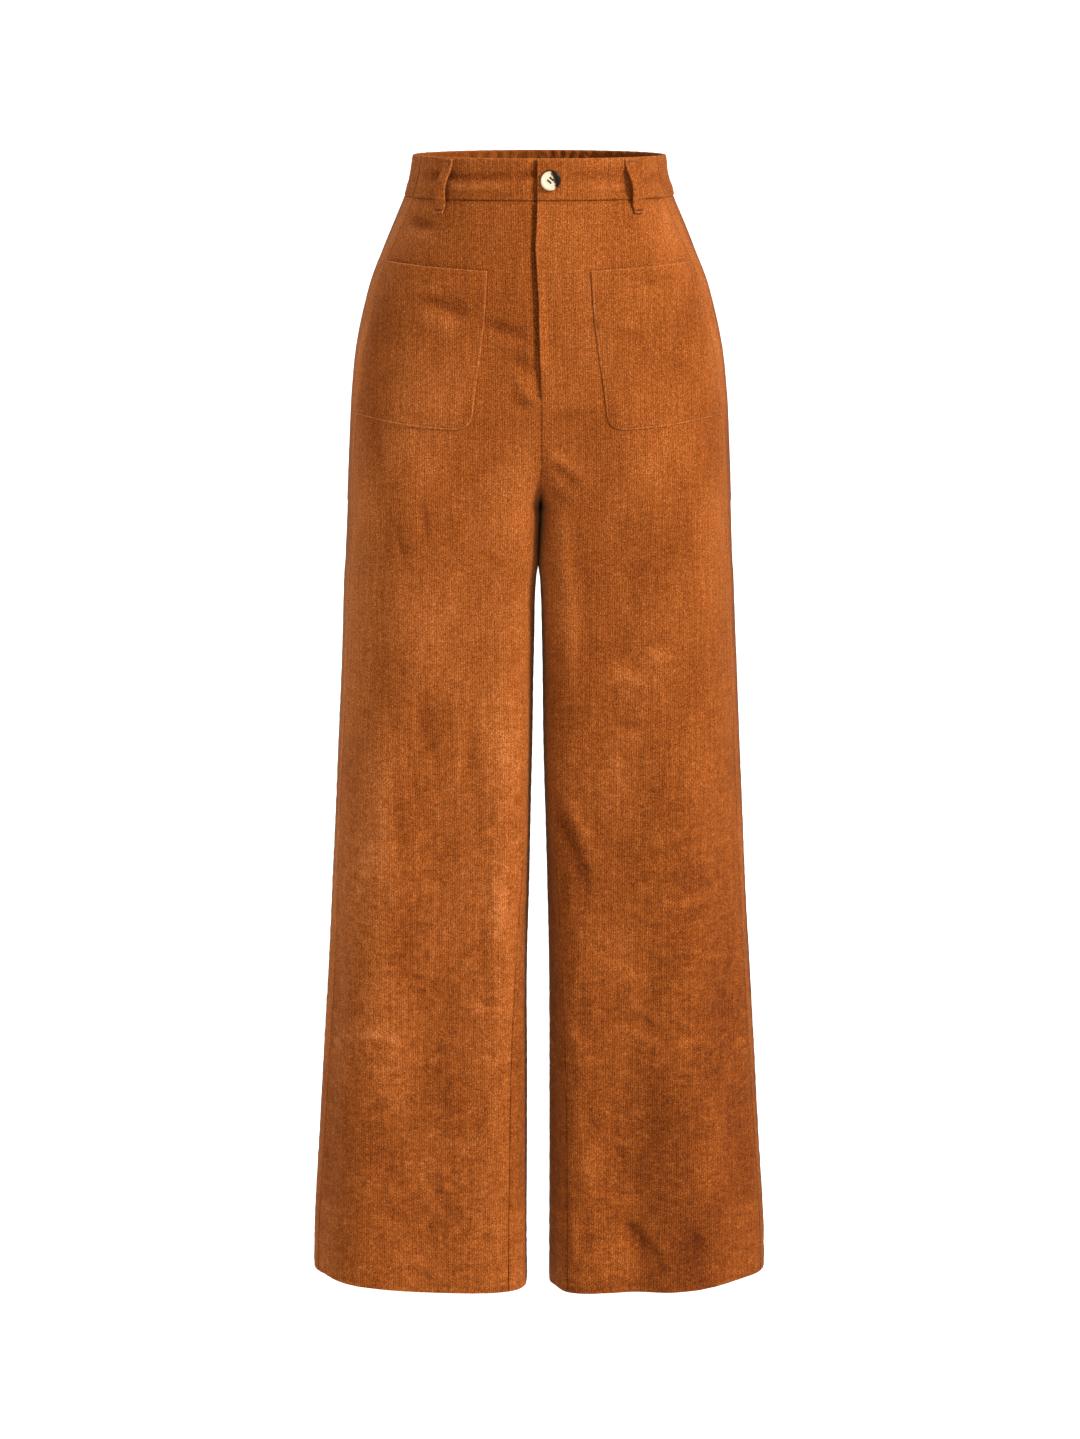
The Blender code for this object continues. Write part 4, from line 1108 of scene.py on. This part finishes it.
for side_name, leg in SIDES:
    down = close_to_ends(np.array([POCKET_HEIGHT]), POCKET_ROWS, NEAR_SEAM).T
    across = close_to_ends(np.array([POCKET_WIDTH]), POCKET_COLUMNS, NEAR_SEAM)
    z, start, turns = pocket_place(across, down)
    relief, u = front_relief(leg, turns, z)
    creases = crease_height(of_leg(POCKET_CREASES, leg), u, z)
    from_inner, from_side = arc(start, turns, z), arc(turns, side_turn(z), z)
    from_top, from_bottom = pocket_place(across, 0.0)[0] - z, z - pocket_place(across, 1.0)[0]
    from_stitches = np.minimum(from_inner, from_bottom)
    lift = pocket_lift(from_inner, from_top, from_bottom, from_side)
    wall = CLOTH * (1 + POCKET_FACING * ease(1 - from_top / FACING_HEIGHT))
    face = wall + relief + lift + creases * ease(from_stitches / (12 * MM))
    edge = rounded(from_inner) * rounded(from_bottom) * rounded(from_top, 0.9 * MM) * rounded(from_side)
    outer, inner = wall_faces(leg, turns, z, face, wall, edge)
    # Its tone: the crushed pile, painted shade and light down the leg, painted shade and highlight on its
    # relief, and paler edges.
    tone = nap_tone(FRONT_NAP, leg, u, z) + painted_leg_shade(leg, u, z) + painted_relief_shade(relief + creases)
    tone = tone + edge_tone(from_top, *MOUTH_LINE) + edge_tone(from_stitches, *POCKET_LINE)
    pocket = cloth_shell(f"cloth_pocket_{side_name}", outer, inner, u + 0.9 * MM, z + 0 * u, tone)
    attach(pocket, "root")
    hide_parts(f"pocket_{side_name}")

    inset = STITCH_INSET / (92 * MM)
    rise = STITCH_INSET / POCKET_HEIGHT
    steps = np.linspace(0.012, 1.0, 160)
    inner_line = pocket_face(leg, inset + 0 * steps, steps * (1 - rise))
    steps = np.linspace(0, 0.985, 120)
    bottom_line = pocket_face(leg, inset + (1 - inset) * steps, 1 - rise + 0 * steps)
    starts, ends = stitch_row(np.concatenate([inner_line, bottom_line[1:]]))
    stitches(f"pocket_stitches_{side_name}", starts, ends, rust_thread)


# ---- Fly ----------------------------------------------------------------------------------------
# Behind the overlap lies the fly shield, a single layer of corduroy, and between them the closed zip:
# its cotton tape, two rows of brass teeth and the slider at the top. A short tack holds the overlap's
# bottom.

SHIELD_FROM = -15 * MM
SHIELD_TO = 34 * MM
ZIP_WIDTH = 18 * MM
ZIP_THICK = 1.5 * MM
ZIP_TOP = -31 * MM
SLIDER_HEIGHT = 9 * MM
SLIDER_WIDTH = 7 * MM
TOOTH_PITCH = 1.6 * MM
TOOTH_REACH = (-0.5 * MM, 1.9 * MM)
TOOTH = 0.62 * MM
TACK_PITCH = 0.55 * MM
TACK_REACH = (-0.8 * MM, 2.0 * MM)
NEAR_END = np.array([0, 0.3, 0.6]) * MM
shield_top = WAIST_SEAM - SEAM
shield_bottom = FLY_BOTTOM + 6 * MM
shield_depth = 2 * CLOTH + 2 * SEAM + 0.3 * MM
zip_depth = CLOTH + SEAM + 0.2 * MM
zip_from = UNDERLAP + 0.5 * MM
zip_middle = zip_from + ZIP_WIDTH / 2
zip_bottom = FLY_BOTTOM + 8 * MM
slider_top = ZIP_TOP - SEAM


def fly_strip(name, across, z, depth, thick, radius, faces_of=None):
    """A strip on the fly's own curve, its outer face a depth below the front's, with rounded edges."""
    turns = turn_at(across, z)
    edge = rounded(across - across.min(), radius) * rounded(across.max() - across, radius)
    edge = edge * rounded(z.max() - z, radius) * rounded(z - z.min(), radius)
    outer, inner = wall_faces(1, turns, z, -depth, thick, edge)
    return cloth_shell(name, outer, inner, across + 0 * z, z + 0 * across, 0.0, faces_of)


across = columns_between(SHIELD_FROM, SHIELD_TO, 30, NEAR_SEAM)
z = rows_between(shield_top, shield_bottom, 60, NEAR_SEAM)
shield = fly_strip("cloth_fly_shield", across, z, shield_depth, CLOTH, 0.7 * MM)
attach(shield, "root")
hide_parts("fly_shield")

cotton_tape = plain_finish("cotton_tape", (0.23, 0.085, 0.032), 0.85, 0.6 * MM, 0.15)
brass = plain_finish("brass", (0.60, 0.42, 0.20), 0.33, 1.2 * MM, 0.02, 1.0)
across = columns_between(zip_from, zip_from + ZIP_WIDTH, 20, NEAR_END)
z = rows_between(ZIP_TOP, zip_bottom, 60, NEAR_END)
cotton = (cotton_tape, cotton_tape)
tape = fly_strip("zip_tape_cloth", across, z, zip_depth + 0.4 * MM, ZIP_THICK - 0.8 * MM, 0.3 * MM, cotton)
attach(tape, "root")
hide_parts("zip_tape")

teeth = np.arange(ZIP_TOP - SLIDER_HEIGHT - TOOTH_PITCH, zip_bottom + 2 * MM, -TOOTH_PITCH / 2)
hand = np.where(np.arange(len(teeth)) % 2 == 0, 1.0, -1.0)
tooth_depth = zip_depth + ZIP_THICK - 0.35 * MM
tooth_turns = [turn_at(zip_middle + hand * reach, teeth) for reach in TOOTH_REACH]
tooth_ends = [surface(1, turn, teeth, -tooth_depth) for turn in tooth_turns]
zip_teeth = stitches("zip_teeth", *tooth_ends, brass, TOOTH)

near = np.array([0, 0.2, 0.5]) * MM
across = columns_between(zip_middle - SLIDER_WIDTH / 2, zip_middle + SLIDER_WIDTH / 2, 14, near)
z = rows_between(slider_top, slider_top - SLIDER_HEIGHT, 16, near)
slider = fly_strip("zip_slider_brass", across, z, zip_depth, ZIP_THICK, 0.5 * MM, (brass, brass))
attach(slider, "root")
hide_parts("zip_slider")

z = FLY_BOTTOM - 1.0 * MM - np.arange(5) * TACK_PITCH
tack_ends = [surface(1, turn_at(reach + 0 * z, z), z, 0.15 * MM) for reach in TACK_REACH]
stitches("fly_tack", *tack_ends, rust_thread, 0.2 * MM)


# ---- Waistband ----------------------------------------------------------------------------------
# The front halves are flat bands of folded corduroy with a stiffener, the left one lapped over the
# right one. The back is gathered on elastic, so its wales pinch together in uneven tucks.

WAIST_TOP = 19 * MM
BAND = 3.2 * MM  # two layers and their stiffener
BAND_PROUD = 0.8 * MM  # how far the waistband stands out from the panels
BAND_ROUND = 2.0 * MM
BAND_UNDERLAP = 30 * MM  # the right waistband's end under the left one
BAND_FLAT = 5 * MM  # creases die out this close to the fold and the seam
GATHERS = 36
PUCKER = 0.35 * MM
BAND_ROWS = 34
BAND_COLUMNS = 130
BAND_BACK_COLUMNS = 230
# Lines painted on the waistband: a paler line on its top fold and the lap's edge, partly worn pile and
# partly painted highlight; a painted shadow beside the lap and painted shade at its seam.
FOLD_LINE = (1.5, 0.5)
BAND_LAP_LINE = (1.2, 0.7)
BAND_LAP_SHADOW = (5.0, -1.0)
BAND_SEAM_LINE = (0.8, -0.8)
BAND_NEAR = np.array([0, 0.25, 0.7, 1.3, 2.0]) * MM
BAND_CREASES = (
    # leg, u start, height start, u end, height end, bow, depth (below 0) or height, half width
    (-1, 70, 3, -66, 6, 2.0, -1.3, 4.0),
    (-1, 44, -6, -40, -5, 1.0, 0.9, 3.8),
    (-1, 50, 4, 26, 7, 1.0, -0.9, 4.2),
    (-1, -40, 5, -66, 7, 1.0, -1.1, 4.2),
    (-1, -10, -13, -64, -12, 1.0, -0.6, 3.0),
    (1, -44, 5, 34, 4, 1.0, -0.8, 4.2),
    (1, -30, -7, 30, -8, 1.0, 0.7, 3.8),
    (1, 30, -3, 74, 2, 1.0, -0.8, 4.0),
)


def band_wave(leg, turn, z):
    """The gathers of the back waistband, counted from the wearer's right side seam to the left one."""
    start = side_turn(z)
    half = (turn - start) / (270.0 - start) / 2
    share = half if leg < 0 else 1 - half
    fade = ease(14 * share - 0.5) * ease(13.5 - 14 * share)
    return GATHER_DEPTH * fade * (gather_wave(share, GATHERS) - 0.4)


def band_edges(z):
    """The share of the band's thickness left near its top fold and its seam."""
    return rounded(WAIST_TOP - z, BAND_ROUND) * rounded(z - WAIST_SEAM, 1.2 * MM)


z = rows_between(WAIST_TOP, WAIST_SEAM, BAND_ROWS, BAND_NEAR)
lap = reading(FLY_EDGE, 1, z) * MM
for side_name, leg, length in (("left", 1, 0.14), ("right", -1, 0.17)):
    start, end = turn_at(-lap if leg > 0 else -BAND_UNDERLAP + 0 * z, z), side_turn(z)
    turns = turns_between(start, end, z, BAND_COLUMNS, BAND_NEAR)
    u = arc(grain_turn(z), turns, z)
    from_start, from_end = arc(start, turns, z), arc(turns, end, z)
    relief = crease_height(of_leg(BAND_CREASES, leg), u, z)
    relief = relief + 0.18 * MM * unevenness(u, z, 26 * MM, 0.6, 5 + leg)
    free = ease((z - WAIST_SEAM) / BAND_FLAT) * ease((WAIST_TOP - z) / BAND_FLAT)
    face = BAND_PROUD + relief * free * ease(from_end / (8 * MM))
    # Its tone: painted shade and light down the leg, painted shade in the creases' troughs with painted
    # highlight on ridges, and the painted lines along its edges.
    tone = painted_leg_shade(leg, u, z) + 1.3 * painted_relief_shade(relief)
    tone = tone + edge_tone(WAIST_TOP - z, *FOLD_LINE) + edge_tone(z - WAIST_SEAM, *BAND_SEAM_LINE)
    if leg > 0:
        tone = tone + edge_tone(from_start, *BAND_LAP_LINE)
    else:
        from_middle = distance_at(turns, z)
        face = face - sunk(from_middle, z, BAND + SEAM)
        tone = tone + edge_tone(from_middle - lap, *BAND_LAP_SHADOW) * ease((WAIST_TOP - z) / (9 * MM))
    edge = rounded(from_start, BAND_ROUND) * rounded(from_end) * band_edges(z)
    outer, inner = wall_faces(leg, turns, z, face, BAND, edge)
    band = cloth_shell(f"cloth_waistband_{side_name}", outer, inner, u + 0.6 * MM, z + 0 * u, tone)
    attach(band, "root")
    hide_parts(f"waistband_front_{side_name}")

start = side_turn(z)
turns = turns_between(start, 270.0 + 0 * start, z, BAND_BACK_COLUMNS, BAND_NEAR)
from_start = arc(start, turns, z)
pinch = 1 - 0.35 * np.exp(-(((z - 1 * MM) / (4 * MM)) ** 2))
halves = []
for leg in (-1, 1):
    pucker = PUCKER * unevenness(from_start, z, 5.5 * MM, 3.0, 17 + leg) * ease((WAIST_TOP - z) / (3 * MM))
    wave = band_wave(leg, turns, z) * pinch
    face = BAND_PROUD + wave + pucker * ease(from_start / (8 * MM))
    pair = wall_faces(leg, turns, z, face, BAND, rounded(from_start) * band_edges(z))
    for points in pair:
        points[..., 0] -= leg * SEAM / 2 * (turns - start) / (270.0 - start)
    # Painted shade between the gathers and painted highlight on them and on the puckers.
    halves.append([*pair, painted_relief_shade(wave - 0.1 * GATHER_DEPTH + pucker)])
outer, inner, tone = (np.concatenate([right, left[:, -2::-1]], axis=1) for right, left in zip(*halves))
run = np.concatenate([from_start, 2 * from_start[:, -1:] - from_start[:, -2::-1]], axis=1)
band = cloth_shell("cloth_waistband_back", outer, inner, run * 1.3, z + 0 * run, tone)
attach(band, "root")
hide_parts("waistband_back")


# ---- Belt loops ---------------------------------------------------------------------------------
# Four folded strips, sewn down by a bar tack at the top of the waistband and another below it, with
# their bottom ends turned under.

LOOP_WIDTH = 9.5 * MM
LOOP_THICK = 2.2 * MM
LOOP_BOW = 6 * MM
LOOP_TOP = 17.5 * MM
LOOP_BOTTOM = -30 * MM
LOOP_FLAT = 5 * MM  # height of the flat stretch sewn down at each end
LOOP_ROUND = 1.1 * MM
LOOP_PLACES = (("front", 134.0), ("back", 234.0))
LOOP_LIFT = 0.5 * MM
TACK_HALF_WIDTH = 3.6
TACK_DENT = 0.5 * MM
TACK_SUNK = 0.42 * MM
LOOP_TACKS = (("top", LOOP_TOP - 2.5 * MM, rust_thread), ("bottom", LOOP_BOTTOM + 2.5 * MM, dark_thread))
LOOP_TONE_AT = 90 * MM
# Paler lines along the loops' sides and ends: partly worn pile, partly painted highlight.
LOOP_SIDE_LINE = (0.9, 0.8)
LOOP_END_LINE = (0.9, 0.6)


def loop_seat(leg, turns, z):
    """How far out a belt loop lies: on the waistband above its seam, and on the panel below it."""
    wave = np.zeros(z.shape)
    if turns[0, 0] > 180:
        spread = turns[:, :1] + (turns[:, -1:] - turns[:, :1]) * np.linspace(0, 1, 12)
        on_band = band_wave(leg, spread, z).max(axis=1, keepdims=True)
        on_panel = panel_wave(spread, z).max(axis=1, keepdims=True)
        wave = np.where(z > WAIST_SEAM, on_band, on_panel)
    return LOOP_LIFT + wave + BAND_PROUD * ease((z - WAIST_SEAM) / (2 * MM) + 1)


z = rows_between(LOOP_TOP, LOOP_BOTTOM, 66, BAND_NEAR)
across = columns_between(-LOOP_WIDTH / 2, LOOP_WIDTH / 2, 16, BAND_NEAR[:4])
from_side = LOOP_WIDTH / 2 - np.abs(across)
free = np.clip((LOOP_TOP - LOOP_FLAT - z) / (LOOP_TOP - LOOP_BOTTOM - 2 * LOOP_FLAT), 0, 1)
bow = LOOP_BOW * np.sin(math.pi * free) ** 1.5
edge = rounded(LOOP_TOP - z, LOOP_ROUND) * rounded(z - LOOP_BOTTOM, LOOP_ROUND)
edge = edge * rounded(from_side, LOOP_ROUND)
pressed = sum(TACK_DENT * np.exp(-(((z - height) / (1.2 * MM)) ** 2)) for _, height, _ in LOOP_TACKS)
pressed = pressed + 0.18 * MM * np.exp(-((across / (0.9 * MM)) ** 2))
ends_tone = edge_tone(z - LOOP_BOTTOM, *LOOP_END_LINE) + edge_tone(LOOP_TOP - z, *LOOP_END_LINE)
edges_tone = ends_tone + edge_tone(from_side, *LOOP_SIDE_LINE)
for place, turn in LOOP_PLACES:
    for side_name, leg in SIDES:
        turns = seam_turn(across, turn, z)
        middle = loop_seat(leg, turns, z) + bow + LOOP_THICK / 2
        outer = surface(leg, turns, z, middle + LOOP_THICK / 2 * edge - pressed)
        inner = surface(leg, turns, z, middle - LOOP_THICK / 2 * edge)
        # Its tone: painted shade and light down the leg on the front loops, and the paler lines along its
        # edges.
        tone = painted_leg_shade(leg, LOOP_TONE_AT, z) * (turn < 180) + edges_tone
        run = across + 0.02 + 0 * z
        loop = cloth_shell(f"cloth_loop_{place}_{side_name}", outer, inner, run, z + 0 * across, tone)
        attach(loop, "root")
        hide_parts(f"belt_loop_{place}_{side_name}")
        for tack_name, tack_height, thread in LOOP_TACKS:
            reach = np.linspace(-TACK_HALF_WIDTH, TACK_HALF_WIDTH, 15) * MM
            ends = []
            for shift in (-0.7 * MM, 0.7 * MM):
                height = tack_height + shift + 0 * reach
                tack_turn = seam_turn(reach, turn, height)
                seat = loop_seat(leg, tack_turn[None, :], height[:1, None])[0, 0]
                ends.append(surface(leg, tack_turn, height, seat + LOOP_THICK - TACK_SUNK))
            stitches(f"loop_tack_{tack_name}_{place}_{side_name}", *ends, thread, 0.3 * MM)


# ---- Button -------------------------------------------------------------------------------------
# A four-hole horn-look button, cream with a dark brown streak, with a raised rim and a dished middle,
# sewn on with dark thread.

BUTTON_DIAMETER = 18 * MM
BUTTON_THICK = 3.2 * MM
BUTTON_RIM = 2.6 * MM
BUTTON_DISH = 0.8 * MM
BUTTON_X = 9.6 * MM
BUTTON_HOLE = 1.8 * MM
BUTTON_HOLE_RING = 2.2 * MM
BUTTON_HOLE_TURN = math.radians(3)
SPOKES = 72
THREAD_PAIRS = ((1, 0), (2, 3))  # holes that the threads join
HORN_SLANT = 0.27  # how far the dark side's edge leans over
HORN_BLUR = 200.0  # how sharply cream turns to brown across it, per metre
HORN_EDGE = -0.18
# Painted shade on the rim's upper part: how fast it darkens with distance, and where it begins.
RIM_PACE = 30000.0  # how fast the rim darkens with the square of the distance, per square metre
RIM_FROM = -1.44  # and where it begins: 6.9 mm from the middle
HORN_SHADES = (
    # place on the ramp, colour
    (0.25, (0.58, 0.51, 0.35)),
    (0.50, (0.13, 0.065, 0.026)),
    (0.70, (0.009, 0.006, 0.005)),
)
radius = BUTTON_DIAMETER / 2


def rounded_profile(corners, steps=6):
    """A profile whose corners are rounded, each by the curve of its own radius: rows of (r, height,
    radius)."""
    points = [np.array(corners[0][:2])]
    for before, (r, height, round_by), after in zip(corners, corners[1:], corners[2:]):
        corner = np.array([r, height])
        back = np.array(before[:2]) - corner
        ahead = np.array(after[:2]) - corner
        first = corner + back / np.linalg.norm(back) * round_by
        last = corner + ahead / np.linalg.norm(ahead) * round_by
        for t in np.linspace(0, 1, steps):
            points.append((1 - t) ** 2 * first + 2 * t * (1 - t) * corner + t**2 * last)
    points.append(np.array(corners[-1][:2]))
    return np.array(points)


profile = rounded_profile(
    (
        # distance from the axis, height, rounding
        (0.0, BUTTON_THICK - BUTTON_DISH - 0.15 * MM, 0.0),
        (radius - BUTTON_RIM - 1.2 * MM, BUTTON_THICK - BUTTON_DISH, 0.5 * MM),
        (radius - BUTTON_RIM, BUTTON_THICK - 0.1 * MM, 0.5 * MM),
        (radius - BUTTON_RIM / 2, BUTTON_THICK + 0.05 * MM, 0.5 * MM),
        (radius - 0.35 * MM, BUTTON_THICK - 0.45 * MM, 0.5 * MM),
        (radius, BUTTON_THICK / 2, 0.5 * MM),
        (radius - 0.7 * MM, 0.3 * MM, 0.3 * MM),
        (radius - 2.0 * MM, 0.0, 0.3 * MM),
        (0.0, 0.0, 0.0),
    )
)
around = np.arange(SPOKES) * 2 * math.pi / SPOKES
rings = profile[1:-1]
out, height = rings[:, :1], rings[:, 1:]
points = np.stack([out * np.cos(around), out * np.sin(around), height + 0 * around], axis=-1).reshape(-1, 3)
poles = np.array([[0.0, 0.0, profile[0][1]], [0.0, 0.0, profile[-1][1]]])
points = np.concatenate([points, poles])
first = np.arange(len(rings) - 1)[:, None] * SPOKES
one, turned = first + np.arange(SPOKES), first + (np.arange(SPOKES) + 1) % SPOKES
quads = np.stack([one, turned, turned + SPOKES, one + SPOKES], axis=-1).reshape(-1, 4).tolist()
last = (len(rings) - 1) * SPOKES
count = len(rings) * SPOKES
quads += [(count, (k + 1) % SPOKES, k) for k in range(SPOKES)]
quads += [(last + k, last + (k + 1) % SPOKES, count + 1) for k in range(SPOKES)]


def horn():
    """Polished horn: cream that turns to black-brown on one side, with a ragged edge, and painted shade
    of brown at the rim's upper part, by the square of the distance from the middle."""
    material, tree, shader = blank_material("horn")
    place = add_node(tree, "ShaderNodeTexCoord").outputs["Object"]
    moved = add_node(tree, "ShaderNodeMapping", Vector=place, Location=(-BUTTON_X, 0.0, 0.0)).outputs[0]
    noise = add_node(tree, "ShaderNodeTexNoise", Vector=moved, Scale=170.0, Detail=3.0, Distortion=1.2)
    parts = add_node(tree, "ShaderNodeSeparateXYZ", Vector=moved)
    x, z = parts.outputs[0], parts.outputs[2]
    slant = maths(tree, "MULTIPLY_ADD", z, HORN_SLANT, x)
    side = maths(tree, "MULTIPLY_ADD", slant, HORN_BLUR, HORN_EDGE)
    streaks = maths(tree, "MULTIPLY_ADD", maths(tree, "SUBTRACT", noise.outputs[0], 0.5), 0.7, side)
    # Painted shade: brown on the rim's upper part, growing with the square of the distance from the middle.
    out_squared = maths(tree, "MULTIPLY_ADD", x, x, maths(tree, "MULTIPLY", z, z))
    rim = maths(tree, "MAXIMUM", maths(tree, "MULTIPLY_ADD", out_squared, RIM_PACE, RIM_FROM), 0.0)
    upper = maths(tree, "MULTIPLY_ADD", maths(tree, "SUBTRACT", z, x), 90.0, 0.3)
    upper = maths(tree, "MINIMUM", maths(tree, "MAXIMUM", upper, 0.0), 1.0)
    painted_rim_shade = maths(tree, "MULTIPLY", maths(tree, "MULTIPLY", rim, upper), 0.85)
    mixed = maths(tree, "MAXIMUM", streaks, painted_rim_shade)
    ramp = add_node(tree, "ShaderNodeValToRGB", Fac=mixed)
    ramp.color_ramp.elements.new(0.5)
    for stop, (at, colour) in zip(ramp.color_ramp.elements, HORN_SHADES):
        stop.position = at
        stop.color = (*colour, 1.0)
    tree.links.new(ramp.outputs[0], shader.inputs["Base Color"])
    shader.inputs["Roughness"].default_value = 0.35
    shader.inputs["Specular IOR Level"].default_value = 0.12
    shader.inputs["Coat Weight"].default_value = 0.02
    shader.inputs["Coat Roughness"].default_value = 0.15
    return material


disc_mesh = bpy.data.meshes.new("button_horn")
disc_mesh.from_pydata(points.tolist(), [], quads)
disc = bpy.data.objects.new("button_disc", disc_mesh)
bpy.context.scene.collection.objects.link(disc)
hole_angle = BUTTON_HOLE_TURN + math.pi / 2 * np.arange(4)
holes = BUTTON_HOLE_RING * np.stack([np.cos(hole_angle), np.sin(hole_angle), 0 * hole_angle], axis=1)
cutters = []
for hole in holes:
    bpy.ops.mesh.primitive_cylinder_add(
        vertices=24, radius=BUTTON_HOLE / 2, depth=4 * BUTTON_THICK, location=tuple(hole)
    )
    cutters.append(bpy.context.object)
    cut = disc.modifiers.new("hole", "BOOLEAN")
    cut.object = bpy.context.object
bpy.context.view_layer.update()
cut_mesh = bpy.data.meshes.new_from_object(disc.evaluated_get(bpy.context.evaluated_depsgraph_get()))
normal = outward(1, turn_at(BUTTON_X, 0.0), 0.0)
seat = surface(1, turn_at(BUTTON_X, 0.0), 0.0, BAND_PROUD + 0.2 * MM)
for cutter in cutters:
    bpy.data.objects.remove(cutter, do_unlink=True)
bpy.data.objects.remove(disc, do_unlink=True)
local = np.empty(len(cut_mesh.vertices) * 3, np.float32)
cut_mesh.vertices.foreach_get("co", local)
axis_x = np.cross((0.0, 0.0, 1.0), normal)
axis_x = axis_x / np.linalg.norm(axis_x)
axes = np.stack([axis_x, np.cross(normal, axis_x), normal])
cut_mesh.vertices.foreach_set("co", (local.reshape(-1, 3) @ axes + seat).astype(np.float32).ravel())
cut_mesh.update()
cut_mesh.materials.clear()
cut_mesh.materials.append(horn())
cut_mesh.shade_smooth()
cut_mesh.set_sharp_from_angle(angle=math.radians(40))
button = bpy.data.objects.new("button_horn", cut_mesh)
bpy.context.scene.collection.objects.link(button)
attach(button, "root")
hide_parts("button")

top_of_dish = BUTTON_THICK - BUTTON_DISH + 0.15 * MM
strands = np.array([[shift * MM, shift * MM, top_of_dish] for shift in (-0.3, 0.0, 0.3)])
ends = [(holes[list(side)][:, None] + strands).reshape(-1, 3) @ axes + seat for side in zip(*THREAD_PAIRS)]
stitches("button_thread", *ends, black_thread, 0.24 * MM)


# ---- Floor, light and camera --------------------------------------------------------------------
# A pale floor well below the hems, one broad soft light from the front right, a weaker one from the
# front left and one from behind.

FLOOR = -1.9
FLOOR_SIZE = 1000.0
bpy.ops.mesh.primitive_plane_add(size=FLOOR_SIZE, location=(0, 0, FLOOR))
floor = bpy.context.object
floor.name = "floor"
floor_paint, _, floor_shader = blank_material("floor_paint")
floor_shader.inputs["Base Color"].default_value = (0.86, 0.86, 0.86, 1.0)
floor_shader.inputs["Roughness"].default_value = 0.9
floor.data.materials.append(floor_paint)

LIGHTS = (
    # name, strength, angle from the front to the viewer's right, height angle, softness in degrees
    ("key", 4.6, 58.0, 34.0, 12.0),
    ("fill", 0.5, -50.0, 20.0, 60.0),
    ("behind", 1.8, 200.0, 40.0, 40.0),
)
SKY = 0.46
for name, strength, turn, rise, softness in LIGHTS:
    lamp = bpy.data.lights.new(name, "SUN")
    lamp.energy = strength
    lamp.angle = math.radians(softness)
    lamp_object = bpy.data.objects.new(name, lamp)
    lamp_object.rotation_euler = (math.radians(90 - rise), 0.0, math.radians(turn))
    bpy.context.scene.collection.objects.link(lamp_object)

world = bpy.data.worlds.new("studio")
world.use_nodes = True
world.node_tree.nodes["Background"].inputs[0].default_value = (1.0, 1.0, 1.0, 1.0)
world.node_tree.nodes["Background"].inputs[1].default_value = SKY
bpy.context.scene.world = world
bpy.context.scene.view_settings.view_transform = "Standard"

CAMERA_PLACE = (0.0009, -3.6, 0.169)
CAMERA_AIM_HEIGHT = -0.494
LENS = 100.04
camera_data = bpy.data.cameras.new("camera")
camera_data.lens = LENS
camera_data.sensor_width = 36.0
camera = bpy.data.objects.new("camera", camera_data)
camera.location = CAMERA_PLACE
tilt = math.atan2(CAMERA_PLACE[2] - CAMERA_AIM_HEIGHT, -CAMERA_PLACE[1])
camera.rotation_euler = (math.pi / 2 - tilt, 0.0, 0.0)
bpy.context.scene.collection.objects.link(camera)
bpy.context.scene.camera = camera
